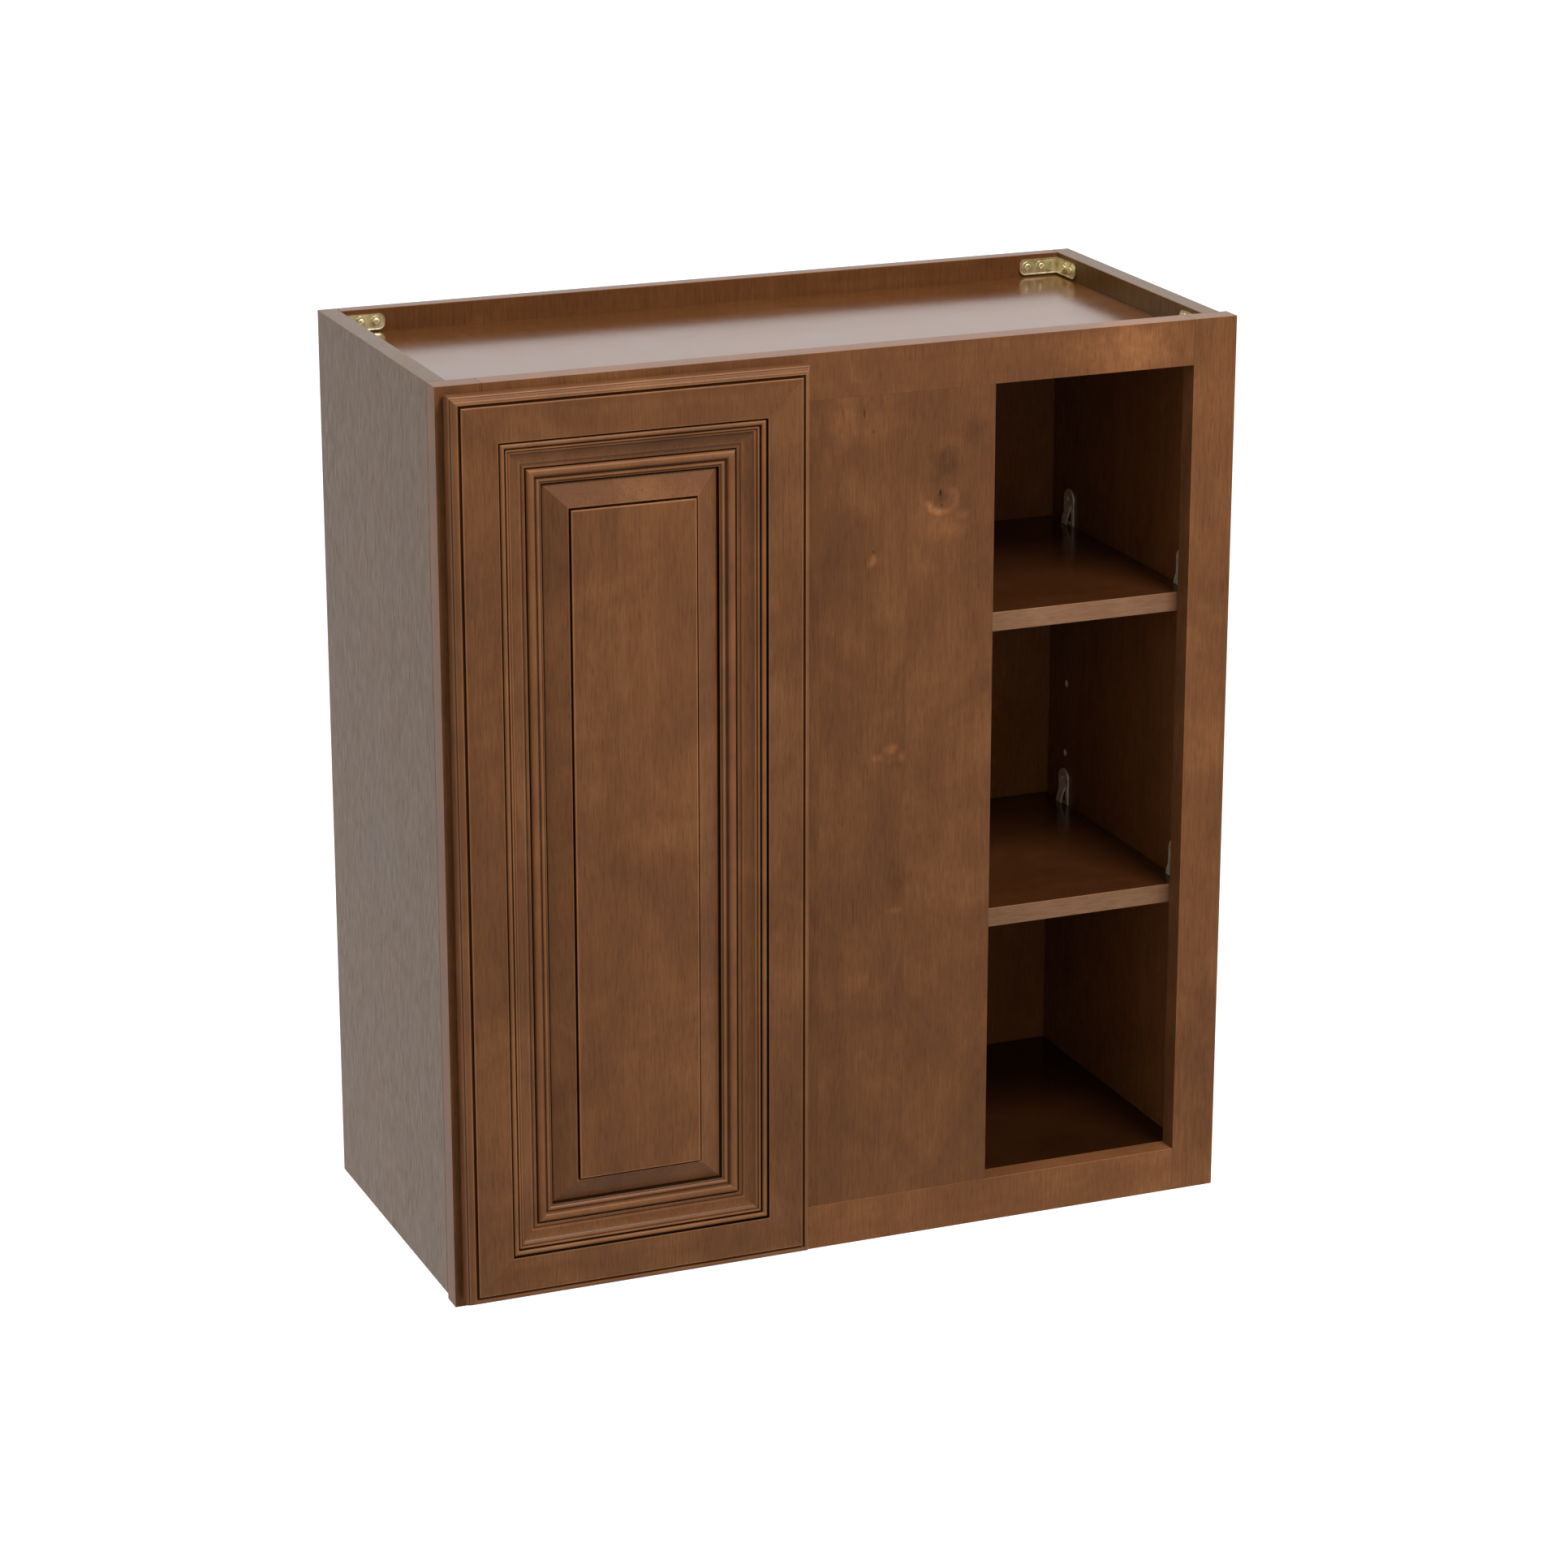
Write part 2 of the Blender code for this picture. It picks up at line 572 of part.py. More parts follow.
def build_hinge(level, z):
    """One concealed hinge. Its own axis is the origin of the door-side pieces."""
    fixed = []
    plate_x = LEFT + FRAME_MEMBER + GAP
    bm = bmesh.new()
    add_box(bm, (plate_x, FRONT + PLATE_SETBACK, z - PLATE_HALF),
            (plate_x + PLATE_THICK, FRAME_BACK - 0.001, z + PLATE_HALF))
    arm = new_object("hinge_arm_" + level, bm)
    bm = bmesh.new()
    add_prism(bm, thick_line(arm_line(), ARM_THICK), "Z", z - ARM_HALF, z + ARM_HALF)
    combine(arm, bm, "UNION", "strip")
    bm = bmesh.new()
    add_rod(bm, (PIVOT.x, PIVOT.y, z), "Z", KNUCKLE_RADIUS, 2 * ARM_HALF, 24)
    combine(arm, bm, "UNION", "knuckle")
    bm = bmesh.new()
    add_rod(bm, (PIVOT.x, PIVOT.y, z), "Z", KNUCKLE_BORE, 3 * ARM_HALF, 20)
    for sign in (-1, 1):
        add_rod(bm, (plate_x, hinge_screw_y(), z + sign * SCREW_OFFSET), "X", SCREW_SHANK + GAP,
                4 * PLATE_THICK, 12)
    combine(arm, bm, "DIFFERENCE", "bores")
    fixed.append(finish_object(arm, NICKEL, 0.3, 1.0))

    for sign, label in ((-1, "lower"), (1, "upper")):
        head_x = plate_x + PLATE_THICK + GAP
        bm = bmesh.new()
        add_rod(bm, (head_x + SCREW_HEAD_TALL / 2, hinge_screw_y(), z + sign * SCREW_OFFSET), "X",
                SCREW_HEAD, SCREW_HEAD_TALL, 20)
        screw = new_object("hinge_screw_%s_%s" % (level, label), bm)
        bm = bmesh.new()
        shank_start = head_x + SCREW_HEAD_TALL / 2
        shank_end = plate_x - SCREW_LENGTH + GAP
        add_rod(bm, ((shank_start + shank_end) / 2, hinge_screw_y(), z + sign * SCREW_OFFSET), "X",
                SCREW_SHANK, shank_start - shank_end, 12)
        combine(screw, bm, "UNION", "shank")
        fixed.append(finish_object(screw, STEEL, 0.35, 1.0))

    bm = bmesh.new()
    add_box(bm, (case_left(), DOOR_BACK - CASE_DEEP, z - CASE_TALL / 2),
            (case_right(), DOOR_BACK - CASE_RIM_GAP, z + CASE_TALL / 2))
    case = new_object("hinge_case_" + level, bm)
    bm = bmesh.new()
    add_box(bm, (case_left(), DOOR_BACK - FLANGE_THICK, z - FLANGE_TALL / 2),
            (case_right() + FLANGE_EXTRA, DOOR_BACK - FLANGE_FACE_GAP, z + FLANGE_TALL / 2))
    combine(case, bm, "UNION", "flange")
    bm = bmesh.new()
    add_box(bm, (case_left() + CASE_WALL, DOOR_BACK - CASE_DEEP + CASE_WALL, z - CASE_TALL / 2 + CASE_WALL),
            (case_right() - CASE_WALL, DOOR_BACK + CUT_PAST, z + CASE_TALL / 2 - CASE_WALL))
    combine(case, bm, "DIFFERENCE", "hollow")
    bm = bmesh.new()
    add_rod(bm, (PIVOT.x, PIVOT.y, z), "Z", HINGE_PIN_RADIUS, CASE_TALL - 2 * CASE_WALL - 2 * GAP, 16)
    pin = new_object("hinge_pin_" + level, bm)
    moving = [finish_object(case, NICKEL, 0.3, 1.0), finish_object(pin, STEEL, 0.25, 1.0)]
    return fixed, moving


def hang_door(pieces):
    """Parent everything on the door to an empty on the hinge axis."""
    axis = bpy.data.objects.new("door_axis", None)
    bpy.context.scene.collection.objects.link(axis)
    axis.location = PIVOT
    for piece in pieces:
        piece.parent = axis
        piece.location = -PIVOT
        for modifier in piece.modifiers:
            if modifier.type == "BOOLEAN":
                modifier.object.parent = axis
                modifier.object.location = -PIVOT


def build():
    clear_scene()
    build_box()
    build_face_frame()
    build_shelves()
    build_clips()
    build_brackets()
    door_pieces = build_door()
    for level, z in zip(("bottom", "top"), hinge_heights()):
        door_pieces += build_hinge(level, z)[1]
    hang_door(door_pieces)


build()
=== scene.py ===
"""Looks of the wall cabinet for a blind corner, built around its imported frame.

Metres, +Z up, in the frame's own coordinates: the origin is the centre of the back face, the
front faces -Y and +X is to the right. Each board, moulding, clip, bracket and screw is made
again here with its fine shape, in the place that its CAD node gives.
"""

import json
import math

import bmesh
import bpy
from mathutils import Matrix, Vector


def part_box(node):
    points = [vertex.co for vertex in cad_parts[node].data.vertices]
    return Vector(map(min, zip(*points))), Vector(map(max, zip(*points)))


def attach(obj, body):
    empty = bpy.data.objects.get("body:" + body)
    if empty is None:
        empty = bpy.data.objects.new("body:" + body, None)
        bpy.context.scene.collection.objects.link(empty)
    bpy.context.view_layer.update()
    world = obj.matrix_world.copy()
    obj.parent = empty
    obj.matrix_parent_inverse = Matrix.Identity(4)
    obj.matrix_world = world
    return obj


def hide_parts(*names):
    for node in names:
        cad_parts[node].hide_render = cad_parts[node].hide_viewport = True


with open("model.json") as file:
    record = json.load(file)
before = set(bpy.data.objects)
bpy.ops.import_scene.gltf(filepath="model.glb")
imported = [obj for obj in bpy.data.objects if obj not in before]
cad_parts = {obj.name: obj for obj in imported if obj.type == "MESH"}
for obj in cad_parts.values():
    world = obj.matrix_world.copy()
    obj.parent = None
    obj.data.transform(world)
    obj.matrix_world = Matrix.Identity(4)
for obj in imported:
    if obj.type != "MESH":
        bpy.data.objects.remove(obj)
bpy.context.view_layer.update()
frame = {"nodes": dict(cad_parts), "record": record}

GAP = 0.0003  # clearance between pieces that touch
NEAR = 0.001  # slack in picking faces by their place
RECORD = frame["record"]
BODY_OF = {node: body for body, nodes in RECORD["behaviour"]["bodies"].items() for node in nodes}

# Places read from the frame
INNER_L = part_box("side_panel_left")[1].x
INNER_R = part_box("side_panel_right")[0].x
BACK_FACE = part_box("back_panel")[0].y
FRAME_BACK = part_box("frame_stile_right")[1].y
STILE_L_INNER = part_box("frame_stile_left")[1].x
DECK_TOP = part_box("top_panel")
DECK_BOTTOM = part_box("bottom_panel")
DOOR_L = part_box("door_stile_left")[0].x
DOOR_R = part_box("door_stile_right")[1].x
DOOR_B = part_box("door_rail_bottom")[0].z
DOOR_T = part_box("door_rail_top")[1].z
DOOR_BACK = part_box("door_stile_left")[1].y

# Door sections
DOOR_THICK = 0.01905
DOOR_MEMBER = 0.0615
MOULD_START = 0.0618
MOULD_END = 0.0749
RABBET_START = 0.054
RABBET_DEPTH = 0.0042
MITRE_GAP = 0.00004  # taken off each mitred end along the piece
TONGUE_LOW = 0.0008  # back of the panel's tongue, over the door's back
PANEL_STEP = 0.0763
PANEL_FIELD = 0.098

# Glaze and painted shade in the door's recesses: (distance in from the door's edge, half width, strength)
GLAZE_AND_SHADE_LINES = ((0.0069, 0.0012, 0.5), (0.038, 0.0011, 1.00), (0.0434, 0.0008, 0.7),
               (0.0459, 0.0007, 0.45), (0.0582, 0.0008, 0.8), (0.0613, 0.0011, 1.00),
               (0.07, 0.0007, 0.7), (0.0738, 0.0005, 0.55), (0.0756, 0.0019, 1.00),
               (0.0958, 0.0011, 0.55))

# Shelf clips
CLIP_PLATE = 0.0012
CLIP_HALF_WIDTH = 0.0095
CLIP_BELOW = 0.0045  # plate below the pin's axis
PIN_RADIUS = 0.0022
SHELF_LOW = 0.0028  # shelf's underside, above the pin's axis
SHELF_THICK = 0.015875
CLIP_CROWN = SHELF_LOW + SHELF_THICK + 0.031
HOLE_RADIUS = 0.0025
HOLE_DEPTH = 0.01
FLARE = 0.002  # how far a hole's countersink widens it
FLARE_DEPTH = 0.0012

# Corner brackets
BRACKET_LEG = 0.037
BRACKET_HALF = 0.00675
BRACKET_THICK = 0.0015
BRACKET_CORNER = 0.0052
BRACKET_HOLES = (0.0165, 0.0295)
BRACKET_DISH = 0.55  # share of the plate's thickness left under a screw's head

# Screws: the head's radius and height, and the shank's radius
HINGE_SCREW = (0.0036, 0.002, 0.0017)
BRACKET_SCREW = (0.0033, 0.0019, 0.0015)
PILOT_RADIUS = 0.002  # hole for a hinge screw in the stile
PILOT_LENGTH = 0.028

# Rounding of the boards' edges
ROUND_SIDE, ROUND_BOX, ROUND_FRAME, ROUND_GLUED = 0.0006, 0.0005, 0.0003, 0.00005

# Knots and figure on the boards, and a painted pool of light on the top rail's right end:
# (x, z, half width, half height, brightness). The ring is the pale lobes around a knot.
KNOT_X, KNOT_Z, KNOT_WIDE, KNOT_TALL = 0.0815, 0.252, 0.0125, 0.0105
KNOT_RING = tuple((KNOT_X + KNOT_WIDE * math.cos(math.radians(turn)),
                   KNOT_Z + KNOT_TALL * math.sin(math.radians(turn)),
                   0.0062, 0.0045, 1.62 if turn < 290 else 1.38) for turn in range(195, 400, 25))
FIGURE_AND_PAINTED_LIGHT = {
    "blind_board_left": (
        (-0.004, 0.324, 0.02, 0.03, 1.45), (0.023, 0.318, 0.03, 0.02, 1.3),
        (0.0135, 0.329, 0.0014, 0.0065, 0.45), (0.0215, 0.313, 0.0016, 0.0028, 0.5),
        (-0.005, 0.33, 0.0012, 0.008, 0.7), (0.0218, 0.2075, 0.0046, 0.007, 1.7),
        (0.019, 0.204, 0.004, 0.004, 1.35), (0.0218, 0.2147, 0.0016, 0.0022, 0.45),
        (0.0376, 0.0475, 0.0085, 0.0065, 1.75), (0.0262, 0.0412, 0.0075, 0.005, 1.5),
        (0.048, 0.04, 0.0045, 0.0065, 1.5), (0.04, 0.034, 0.012, 0.005, 0.85),
        (0.043, -0.062, 0.013, 0.033, 0.78), (0.044, -0.0915, 0.01, 0.0035, 1.35),
        (0.0244, 0.108, 0.001, 0.013, 0.62), (0.0055, -0.09, 0.001, 0.02, 0.62),
        (-0.0046, -0.0095, 0.0012, 0.006, 0.65), (0.006, -0.15, 0.022, 0.013, 1.18)),
    "blind_board_right": (
        (0.084, 0.28, 0.022, 0.026, 0.62), (0.109, 0.305, 0.02, 0.018, 0.84),
        (0.088, 0.23, 0.026, 0.017, 1.4), (0.1, 0.238, 0.009, 0.006, 1.35),
        (0.0812, 0.254, 0.008, 0.007, 0.68), (0.08, 0.258, 0.0015, 0.0042, 0.18),
        (0.0812, 0.2475, 0.0016, 0.0022, 0.45)) + KNOT_RING,
    "frame_rail_top": (
        # painted pool of light on the rail's right end
        (0.245, 0.359, 0.08, 0.04, 1.55), (0.19, 0.368, 0.05, 0.015, 1.15)),
    "frame_stile_right": (
        (0.324, 0.31, 0.03, 0.03, 1.12), (0.324, 0.03, 0.03, 0.06, 1.14),
        (0.324, -0.3, 0.04, 0.12, 0.86))}

# Stains: dark, middle and light tones, linear colour
FRONT_STAIN = ((0.1, 0.039, 0.0165), (0.153, 0.06, 0.0222), (0.233, 0.098, 0.0375))
SIDE_STAIN = ((0.092, 0.039, 0.0085), (0.145, 0.065, 0.016), (0.225, 0.111, 0.033))
OUTSIDE_STAIN = ((0.092, 0.031, 0.0085), (0.145, 0.052, 0.0145), (0.225, 0.09, 0.03))
WALL_STAIN = ((0.18, 0.06, 0.017), (0.25, 0.087, 0.026), (0.32, 0.118, 0.037))
# the shelves' stain, darker than outside as painted shade of the dim inside
SHELF_STAIN_AND_SHADE = ((0.05, 0.015, 0.0045), (0.07, 0.022, 0.0067), (0.095, 0.032, 0.01))
BAND_STAIN = ((0.162, 0.074, 0.035), (0.22, 0.108, 0.054), (0.285, 0.152, 0.082))
DRILLED_MAPLE = ((0.6, 0.46, 0.3), (0.72, 0.57, 0.39), (0.8, 0.66, 0.48))
BARE_MAPLE = (0.52, 0.37, 0.22)
# darker stain and painted shade in the hollows of the door's profiles
HOLLOW_STAIN_AND_SHADE = (0.042, 0.0125, 0.0042)
# near-black of the glaze, also painted shade in the door's grooves and on steep walls
GLAZE_AND_SHADE = (0.007, 0.0032, 0.002)
FRONT_IOR = 1.13  # low, as the fronts and sides hardly shine
FRAME_COAT, DOOR_COAT = 0.12, 0.15
# the door's steep walls are painted dark as shade
STEEP = 0.3  # the door is steep where its normal's Y part is smaller

# Metals: clean and tarnished
BRASS = ((0.94, 0.84, 0.5), (0.6, 0.51, 0.25))
NICKEL = ((0.96, 0.83, 0.62), (0.74, 0.62, 0.43))
STEEL = ((0.6, 0.6, 0.58), (0.38, 0.38, 0.36))


# ---------------- camera, light and floor

CAMERA_PLACE = (-1.40143, -3.58884, 1.16922)
CAMERA_YAW = 0.388973  # towards +X, from looking along +Y
CAMERA_DROP = 0.310755  # below level
CAMERA_LENS = 106.29  # millimetres, as is the sensor
CAMERA_SENSOR = 36.0
CAMERA_FAR = 200.0
KEY_PLACE, KEY_AIM = (0.7, -2.3, 2.85), (0.0, -0.2, 0.0)
KEY_SIZE, KEY_POWER = 1.1, 99.0
FLOOR_LEVEL = -1.75  # a wall cabinet's height over a room's floor
FLOOR_SIZE = 60.0
DOME_FRONT = 0.66  # brightness of the white room in front of the object
DOME_BACK = 1.55  # the same behind it
DOME_BELOW = 0.55  # share of it that is left below the horizon
DOME_OVERHEAD = 0.55  # share of it that is left overhead


def add_object(name, data):
    obj = bpy.data.objects.new(name, data)
    bpy.context.scene.collection.objects.link(obj)
    return obj


def place_camera():
    data = bpy.data.cameras.new("camera")
    data.sensor_width = CAMERA_SENSOR
    data.lens = CAMERA_LENS
    data.clip_end = CAMERA_FAR
    camera = add_object("camera", data)
    camera.location = CAMERA_PLACE
    camera.rotation_euler = (math.pi / 2 - CAMERA_DROP, 0.0, -CAMERA_YAW)
    bpy.context.scene.camera = camera


def key_light():
    data = bpy.data.lights.new("key_light", "AREA")
    data.shape = "SQUARE"
    data.size = KEY_SIZE
    data.energy = KEY_POWER
    light = add_object("key_light", data)
    light.location = KEY_PLACE
    light.rotation_euler = (Vector(KEY_AIM) - Vector(KEY_PLACE)).to_track_quat("-Z", "Y").to_euler()


def white_dome():
    """A white room: bright behind the object, dimmer in front and overhead, dim below the horizon."""
    world = bpy.data.worlds.new("white_dome")
    world.use_nodes = True
    tree = world.node_tree
    split = tree.nodes.new("ShaderNodeSeparateXYZ")
    tree.links.new(tree.nodes.new("ShaderNodeTexCoord").outputs["Generated"], split.inputs[0])

    def level(axis, low, high, low_level, high_level):
        node = tree.nodes.new("ShaderNodeMapRange")
        node.interpolation_type = "SMOOTHSTEP"
        for name, value in (("From Min", low), ("From Max", high),
                            ("To Min", low_level), ("To Max", high_level)):
            node.inputs[name].default_value = value
        tree.links.new(split.outputs[axis], node.inputs["Value"])
        return node.outputs["Result"]

    strength = level("Y", -0.7, 0.7, DOME_FRONT, DOME_BACK)
    for factor in (level("Z", -0.15, 0.05, DOME_BELOW, 1.0), level("Z", 0.35, 0.9, 1.0, DOME_OVERHEAD)):
        product = tree.nodes.new("ShaderNodeMath")
        product.operation = "MULTIPLY"
        tree.links.new(strength, product.inputs[0])
        tree.links.new(factor, product.inputs[1])
        strength = product.outputs[0]
    background = tree.nodes["Background"]
    background.inputs["Color"].default_value = (1.0, 1.0, 1.0, 1.0)
    tree.links.new(strength, background.inputs["Strength"])
    return world


def light_studio():
    scene = bpy.context.scene
    scene.view_settings.view_transform = "Standard"
    scene.world = white_dome()
    key_light()
    bm = bmesh.new()
    bmesh.ops.create_grid(bm, x_segments=1, y_segments=1, size=FLOOR_SIZE)
    floor = new_object("studio_floor", bm)
    floor.location = (0.0, 0.0, FLOOR_LEVEL)
    floor.data.materials.append(pale_floor())
    floor.visible_diffuse = False


# ---------------- materials

class Graph:
    """Short names for the nodes of one material, which is placed by its object's own coordinates."""

    def __init__(self, name):
        self.material = bpy.data.materials.new(name)
        self.material.use_nodes = True
        self.tree = self.material.node_tree
        self.shader = self.tree.nodes["Principled BSDF"]
        coordinates = self.add("ShaderNodeTexCoord")
        self.place = coordinates.outputs["Object"]
        self.normal = coordinates.outputs["Normal"]

    def add(self, kind, **settings):
        node = self.tree.nodes.new(kind)
        for key, value in settings.items():
            setattr(node, key, value)
        return node

    def wire(self, socket, value):
        if isinstance(value, bpy.types.NodeSocket):
            self.tree.links.new(value, socket)
        else:
            socket.default_value = value

    def math(self, operation, a, b=0.0, clamp=False):
        node = self.add("ShaderNodeMath", operation=operation, use_clamp=clamp)
        self.wire(node.inputs[0], a)
        self.wire(node.inputs[1], b)
        return node.outputs[0]

    def times(self, a, b):
        return self.math("MULTIPLY", a, b)

    def minus(self, a, b):
        return self.math("SUBTRACT", a, b)

    def centred(self, value, amount):
        """The value's distance from a half, times amount."""
        return self.times(self.minus(value, 0.5), amount)

    def total(self, start, *values):
        for value in values:
            start = self.math("ADD", start, value)
        return start

    def noise(self, scale, seed, detail=2.0, roughness=0.5, distortion=0.0):
        """Noise whose scale is given along X, Y and Z, in features to the metre."""
        mapping = self.add("ShaderNodeMapping")
        self.wire(mapping.inputs["Vector"], self.place)
        mapping.inputs["Location"].default_value = (seed * 3.7, seed * 5.3, seed * 7.9)
        mapping.inputs["Scale"].default_value = scale
        node = self.add("ShaderNodeTexNoise")
        self.wire(node.inputs["Vector"], mapping.outputs["Vector"])
        for socket, value in (("Scale", 1.0), ("Detail", detail), ("Roughness", roughness),
                              ("Distortion", distortion)):
            node.inputs[socket].default_value = value
        return node.outputs["Fac"]

    def mix(self, amount, a, b, blend="MIX"):
        node = self.add("ShaderNodeMix", data_type="RGBA", blend_type=blend)
        for index, value in ((0, amount), (6, a), (7, b)):
            if isinstance(value, tuple):
                value = (*value, 1.0)
            self.wire(node.inputs[index], value)
        return node.outputs[2]

    def ramp(self, value, stops):
        """A colour ramp. Stops are (position, grey or colour)."""
        node = self.add("ShaderNodeValToRGB")
        elements = node.color_ramp.elements
        while len(elements) < len(stops):
            elements.new(1.0)
        for element, (position, shade) in zip(elements, stops):
            colour = shade if isinstance(shade, tuple) else (shade, shade, shade)
            element.position = position
            element.color = (*colour, 1.0)
        self.wire(node.inputs["Fac"], value)
        return node.outputs["Color"]

    def axis(self, vector, name):
        node = self.add("ShaderNodeSeparateXYZ")
        self.wire(node.inputs[0], vector)
        return node.outputs[name]

    def attribute(self, name):
        return self.add("ShaderNodeAttribute", attribute_name=name).outputs["Fac"]

    def bump(self, height, distance, strength):
        node = self.add("ShaderNodeBump")
        node.inputs["Distance"].default_value = distance
        node.inputs["Strength"].default_value = strength
        self.wire(node.inputs["Height"], height)
        self.wire(self.shader.inputs["Normal"], node.outputs["Normal"])

    def finish(self, colour, roughness, **constants):
        self.wire(self.shader.inputs["Base Color"], colour)
        self.wire(self.shader.inputs["Roughness"], roughness)
        for name, value in constants.items():
            self.shader.inputs[name.replace("_", " ")].default_value = value
        return self.material


def along_grain(grain, across, along):
    """Noise scales for a grain along X, Y or Z."""
    return tuple(along if axis == grain else across for axis in "XYZ")


def door_glaze_and_shade(graph):
    """How much glaze and painted shade lie at a point of the door: lines along its edges, and painted shade
    on the mouldings' steep walls.
    """
    x = graph.axis(graph.place, "X")
    z = graph.axis(graph.place, "Z")
    inward = graph.minus(x, DOOR_L)  # distance to the door's nearest edge
    for far, near in ((DOOR_R, x), (z, DOOR_B), (DOOR_T, z)):
        inward = graph.math("MINIMUM", inward, graph.minus(far, near))
    span = 0.1
    stops = []
    for centre, half, strength in GLAZE_AND_SHADE_LINES:
        stops += [((centre - half) / span, 0.0), (centre / span, strength), ((centre + half) / span, 0.0)]
    lines = graph.ramp(graph.math("DIVIDE", inward, span), stops)
    # walls that face sideways are painted full dark as shade
    painted_shade_walls = graph.math("LESS_THAN", graph.math("ABSOLUTE", graph.axis(graph.normal, "Y")), STEEP)
    worked = graph.times(graph.math("GREATER_THAN", inward, GLAZE_AND_SHADE_LINES[0][0]),
                         graph.math("LESS_THAN", inward, PANEL_FIELD))
    lines = graph.math("MAXIMUM", lines, graph.times(painted_shade_walls, worked))
    front = graph.math("LESS_THAN", graph.axis(graph.place, "Y"), DOOR_BACK - RABBET_DEPTH + 2 * GAP)
    return graph.times(lines, front)


def spot_shade(graph, spots, seed):
    """Brightness of knots, figure and a painted pool of light: each spot is (x, z, half width, half height,
    brightness).
    """
    x = graph.axis(graph.place, "X")
    z = graph.axis(graph.place, "Z")
    wobble = graph.centred(graph.noise((140.0, 140.0, 90.0), seed + 3.0, detail=4.0), 0.9)
    shade = 1.0
    for spot_x, spot_z, wide, tall, bright in spots:
        across = graph.math("DIVIDE", graph.minus(x, spot_x), wide)
        up = graph.math("DIVIDE", graph.minus(z, spot_z), tall)
        apart = graph.total(graph.times(across, across), graph.times(up, up), wobble)
        fade = graph.math("SUBTRACT", 1.0, apart, clamp=True)
        amount = graph.times(graph.times(fade, fade), bright - 1.0)
        shade = graph.times(shade, graph.math("ADD", amount, 1.0))
    return shade


def wood(name, grain, seed, stain, tone=1.0, mottle=0.95, sheen=0.36, coat=0.0, ior=1.25, relief=0.35,
         glint=0.0, fine=None, spots=(), stave=None, glazed_and_shaded=False, bare=None):
    """Stained maple under a satin topcoat: mottling, soft bands, fine lines, pores, and arrises lightened for
    wear and a painted highlight.

    The mottling and bands run along grain, and the fine lines along fine. Tone scales the stain,
    sheen is the roughness, relief is the depth of the pores, and glint is how far they break up
    the coat. A stave is a glued joint: (its x, tone of the wood to its left). Beyond bare, a
    place along Y, the wood is unstained."""
    graph = Graph(name)
    fine = fine or grain
    blotch = graph.noise(along_grain(grain, 15.0, 12.0), seed, detail=5.0, roughness=0.62, distortion=0.5)
    bands = graph.noise(along_grain(grain, 60.0, 1.6), seed + 1.0, detail=3.0, roughness=0.6)
    lines = graph.noise(along_grain(fine, 620.0, 22.0), seed + 2.0, detail=2.0, roughness=0.6)
    pores = graph.noise(along_grain(fine, 1300.0, 70.0), seed + 4.0, detail=2.0, roughness=0.6)

    level = graph.total(0.5, graph.centred(blotch, mottle), graph.centred(bands, 0.3),
                        graph.centred(lines, 0.28))
    dark, middle, light = (tuple(tone * part for part in shade) for shade in stain)
    colour = graph.ramp(level, [(0.15, dark), (0.5, middle), (0.85, light)])
    shade = graph.ramp(pores, [(0.28, 0.74), (0.46, 0.98), (0.72, 1.14)])
    if spots:
        shade = graph.times(shade, spot_shade(graph, spots, seed))
    if stave:
        left = graph.math("LESS_THAN", graph.axis(graph.place, "X"), stave[0])
        step = graph.math("ADD", 1.0, graph.times(left, stave[1] - 1.0))
        shade = graph.times(shade, step)
    grey = graph.add("ShaderNodeCombineColor")
    for index in range(3):
        graph.wire(grey.inputs[index], shade)
    colour = graph.mix(1.0, colour, grey.outputs[0], "MULTIPLY")

    ends = graph.math("GREATER_THAN", graph.math("ABSOLUTE", graph.axis(graph.normal, grain)), 0.9)
    colour = graph.mix(graph.times(ends, 0.4), colour, dark)
    # arrises lightened: wear and a painted highlight
    wear_and_painted_highlight = graph.times(graph.attribute("arris"), graph.ramp(blotch, [(0.3, 0.4), (0.7, 0.85)]))
    colour = graph.mix(wear_and_painted_highlight, colour, tuple(1.5 * part for part in light))
    roughness = graph.total(sheen, graph.centred(pores, 0.05), graph.centred(blotch, 0.12))
    if glazed_and_shaded:
        # glaze and painted shade in the door's grooves
        glaze_and_shade = graph.times(door_glaze_and_shade(graph), graph.ramp(bands, [(0.3, 0.75), (0.6, 1.0)]))
        # the hollows darken: stain pooling and painted shade
        colour = graph.mix(graph.times(graph.attribute("hollow"), 0.5), colour, HOLLOW_STAIN_AND_SHADE)
        colour = graph.mix(glaze_and_shade, colour, GLAZE_AND_SHADE)
    if bare is not None:
        plain = graph.mix(graph.centred(lines, 1.2), BARE_MAPLE, tuple(0.8 * part for part in BARE_MAPLE))
        where = graph.math("GREATER_THAN", graph.axis(graph.place, "Y"), bare)
        colour = graph.mix(where, colour, plain)
        roughness = graph.math("ADD", roughness, graph.times(where, 0.25))
    graph.bump(graph.total(pores, graph.times(lines, 0.5)), 0.0001, relief)
    if glint:
        graph.wire(graph.shader.inputs["Coat Weight"], graph.total(coat, graph.centred(pores, glint)))
    return graph.finish(colour, roughness, IOR=ior, Coat_Weight=coat, Coat_Roughness=0.2, Coat_IOR=1.35)


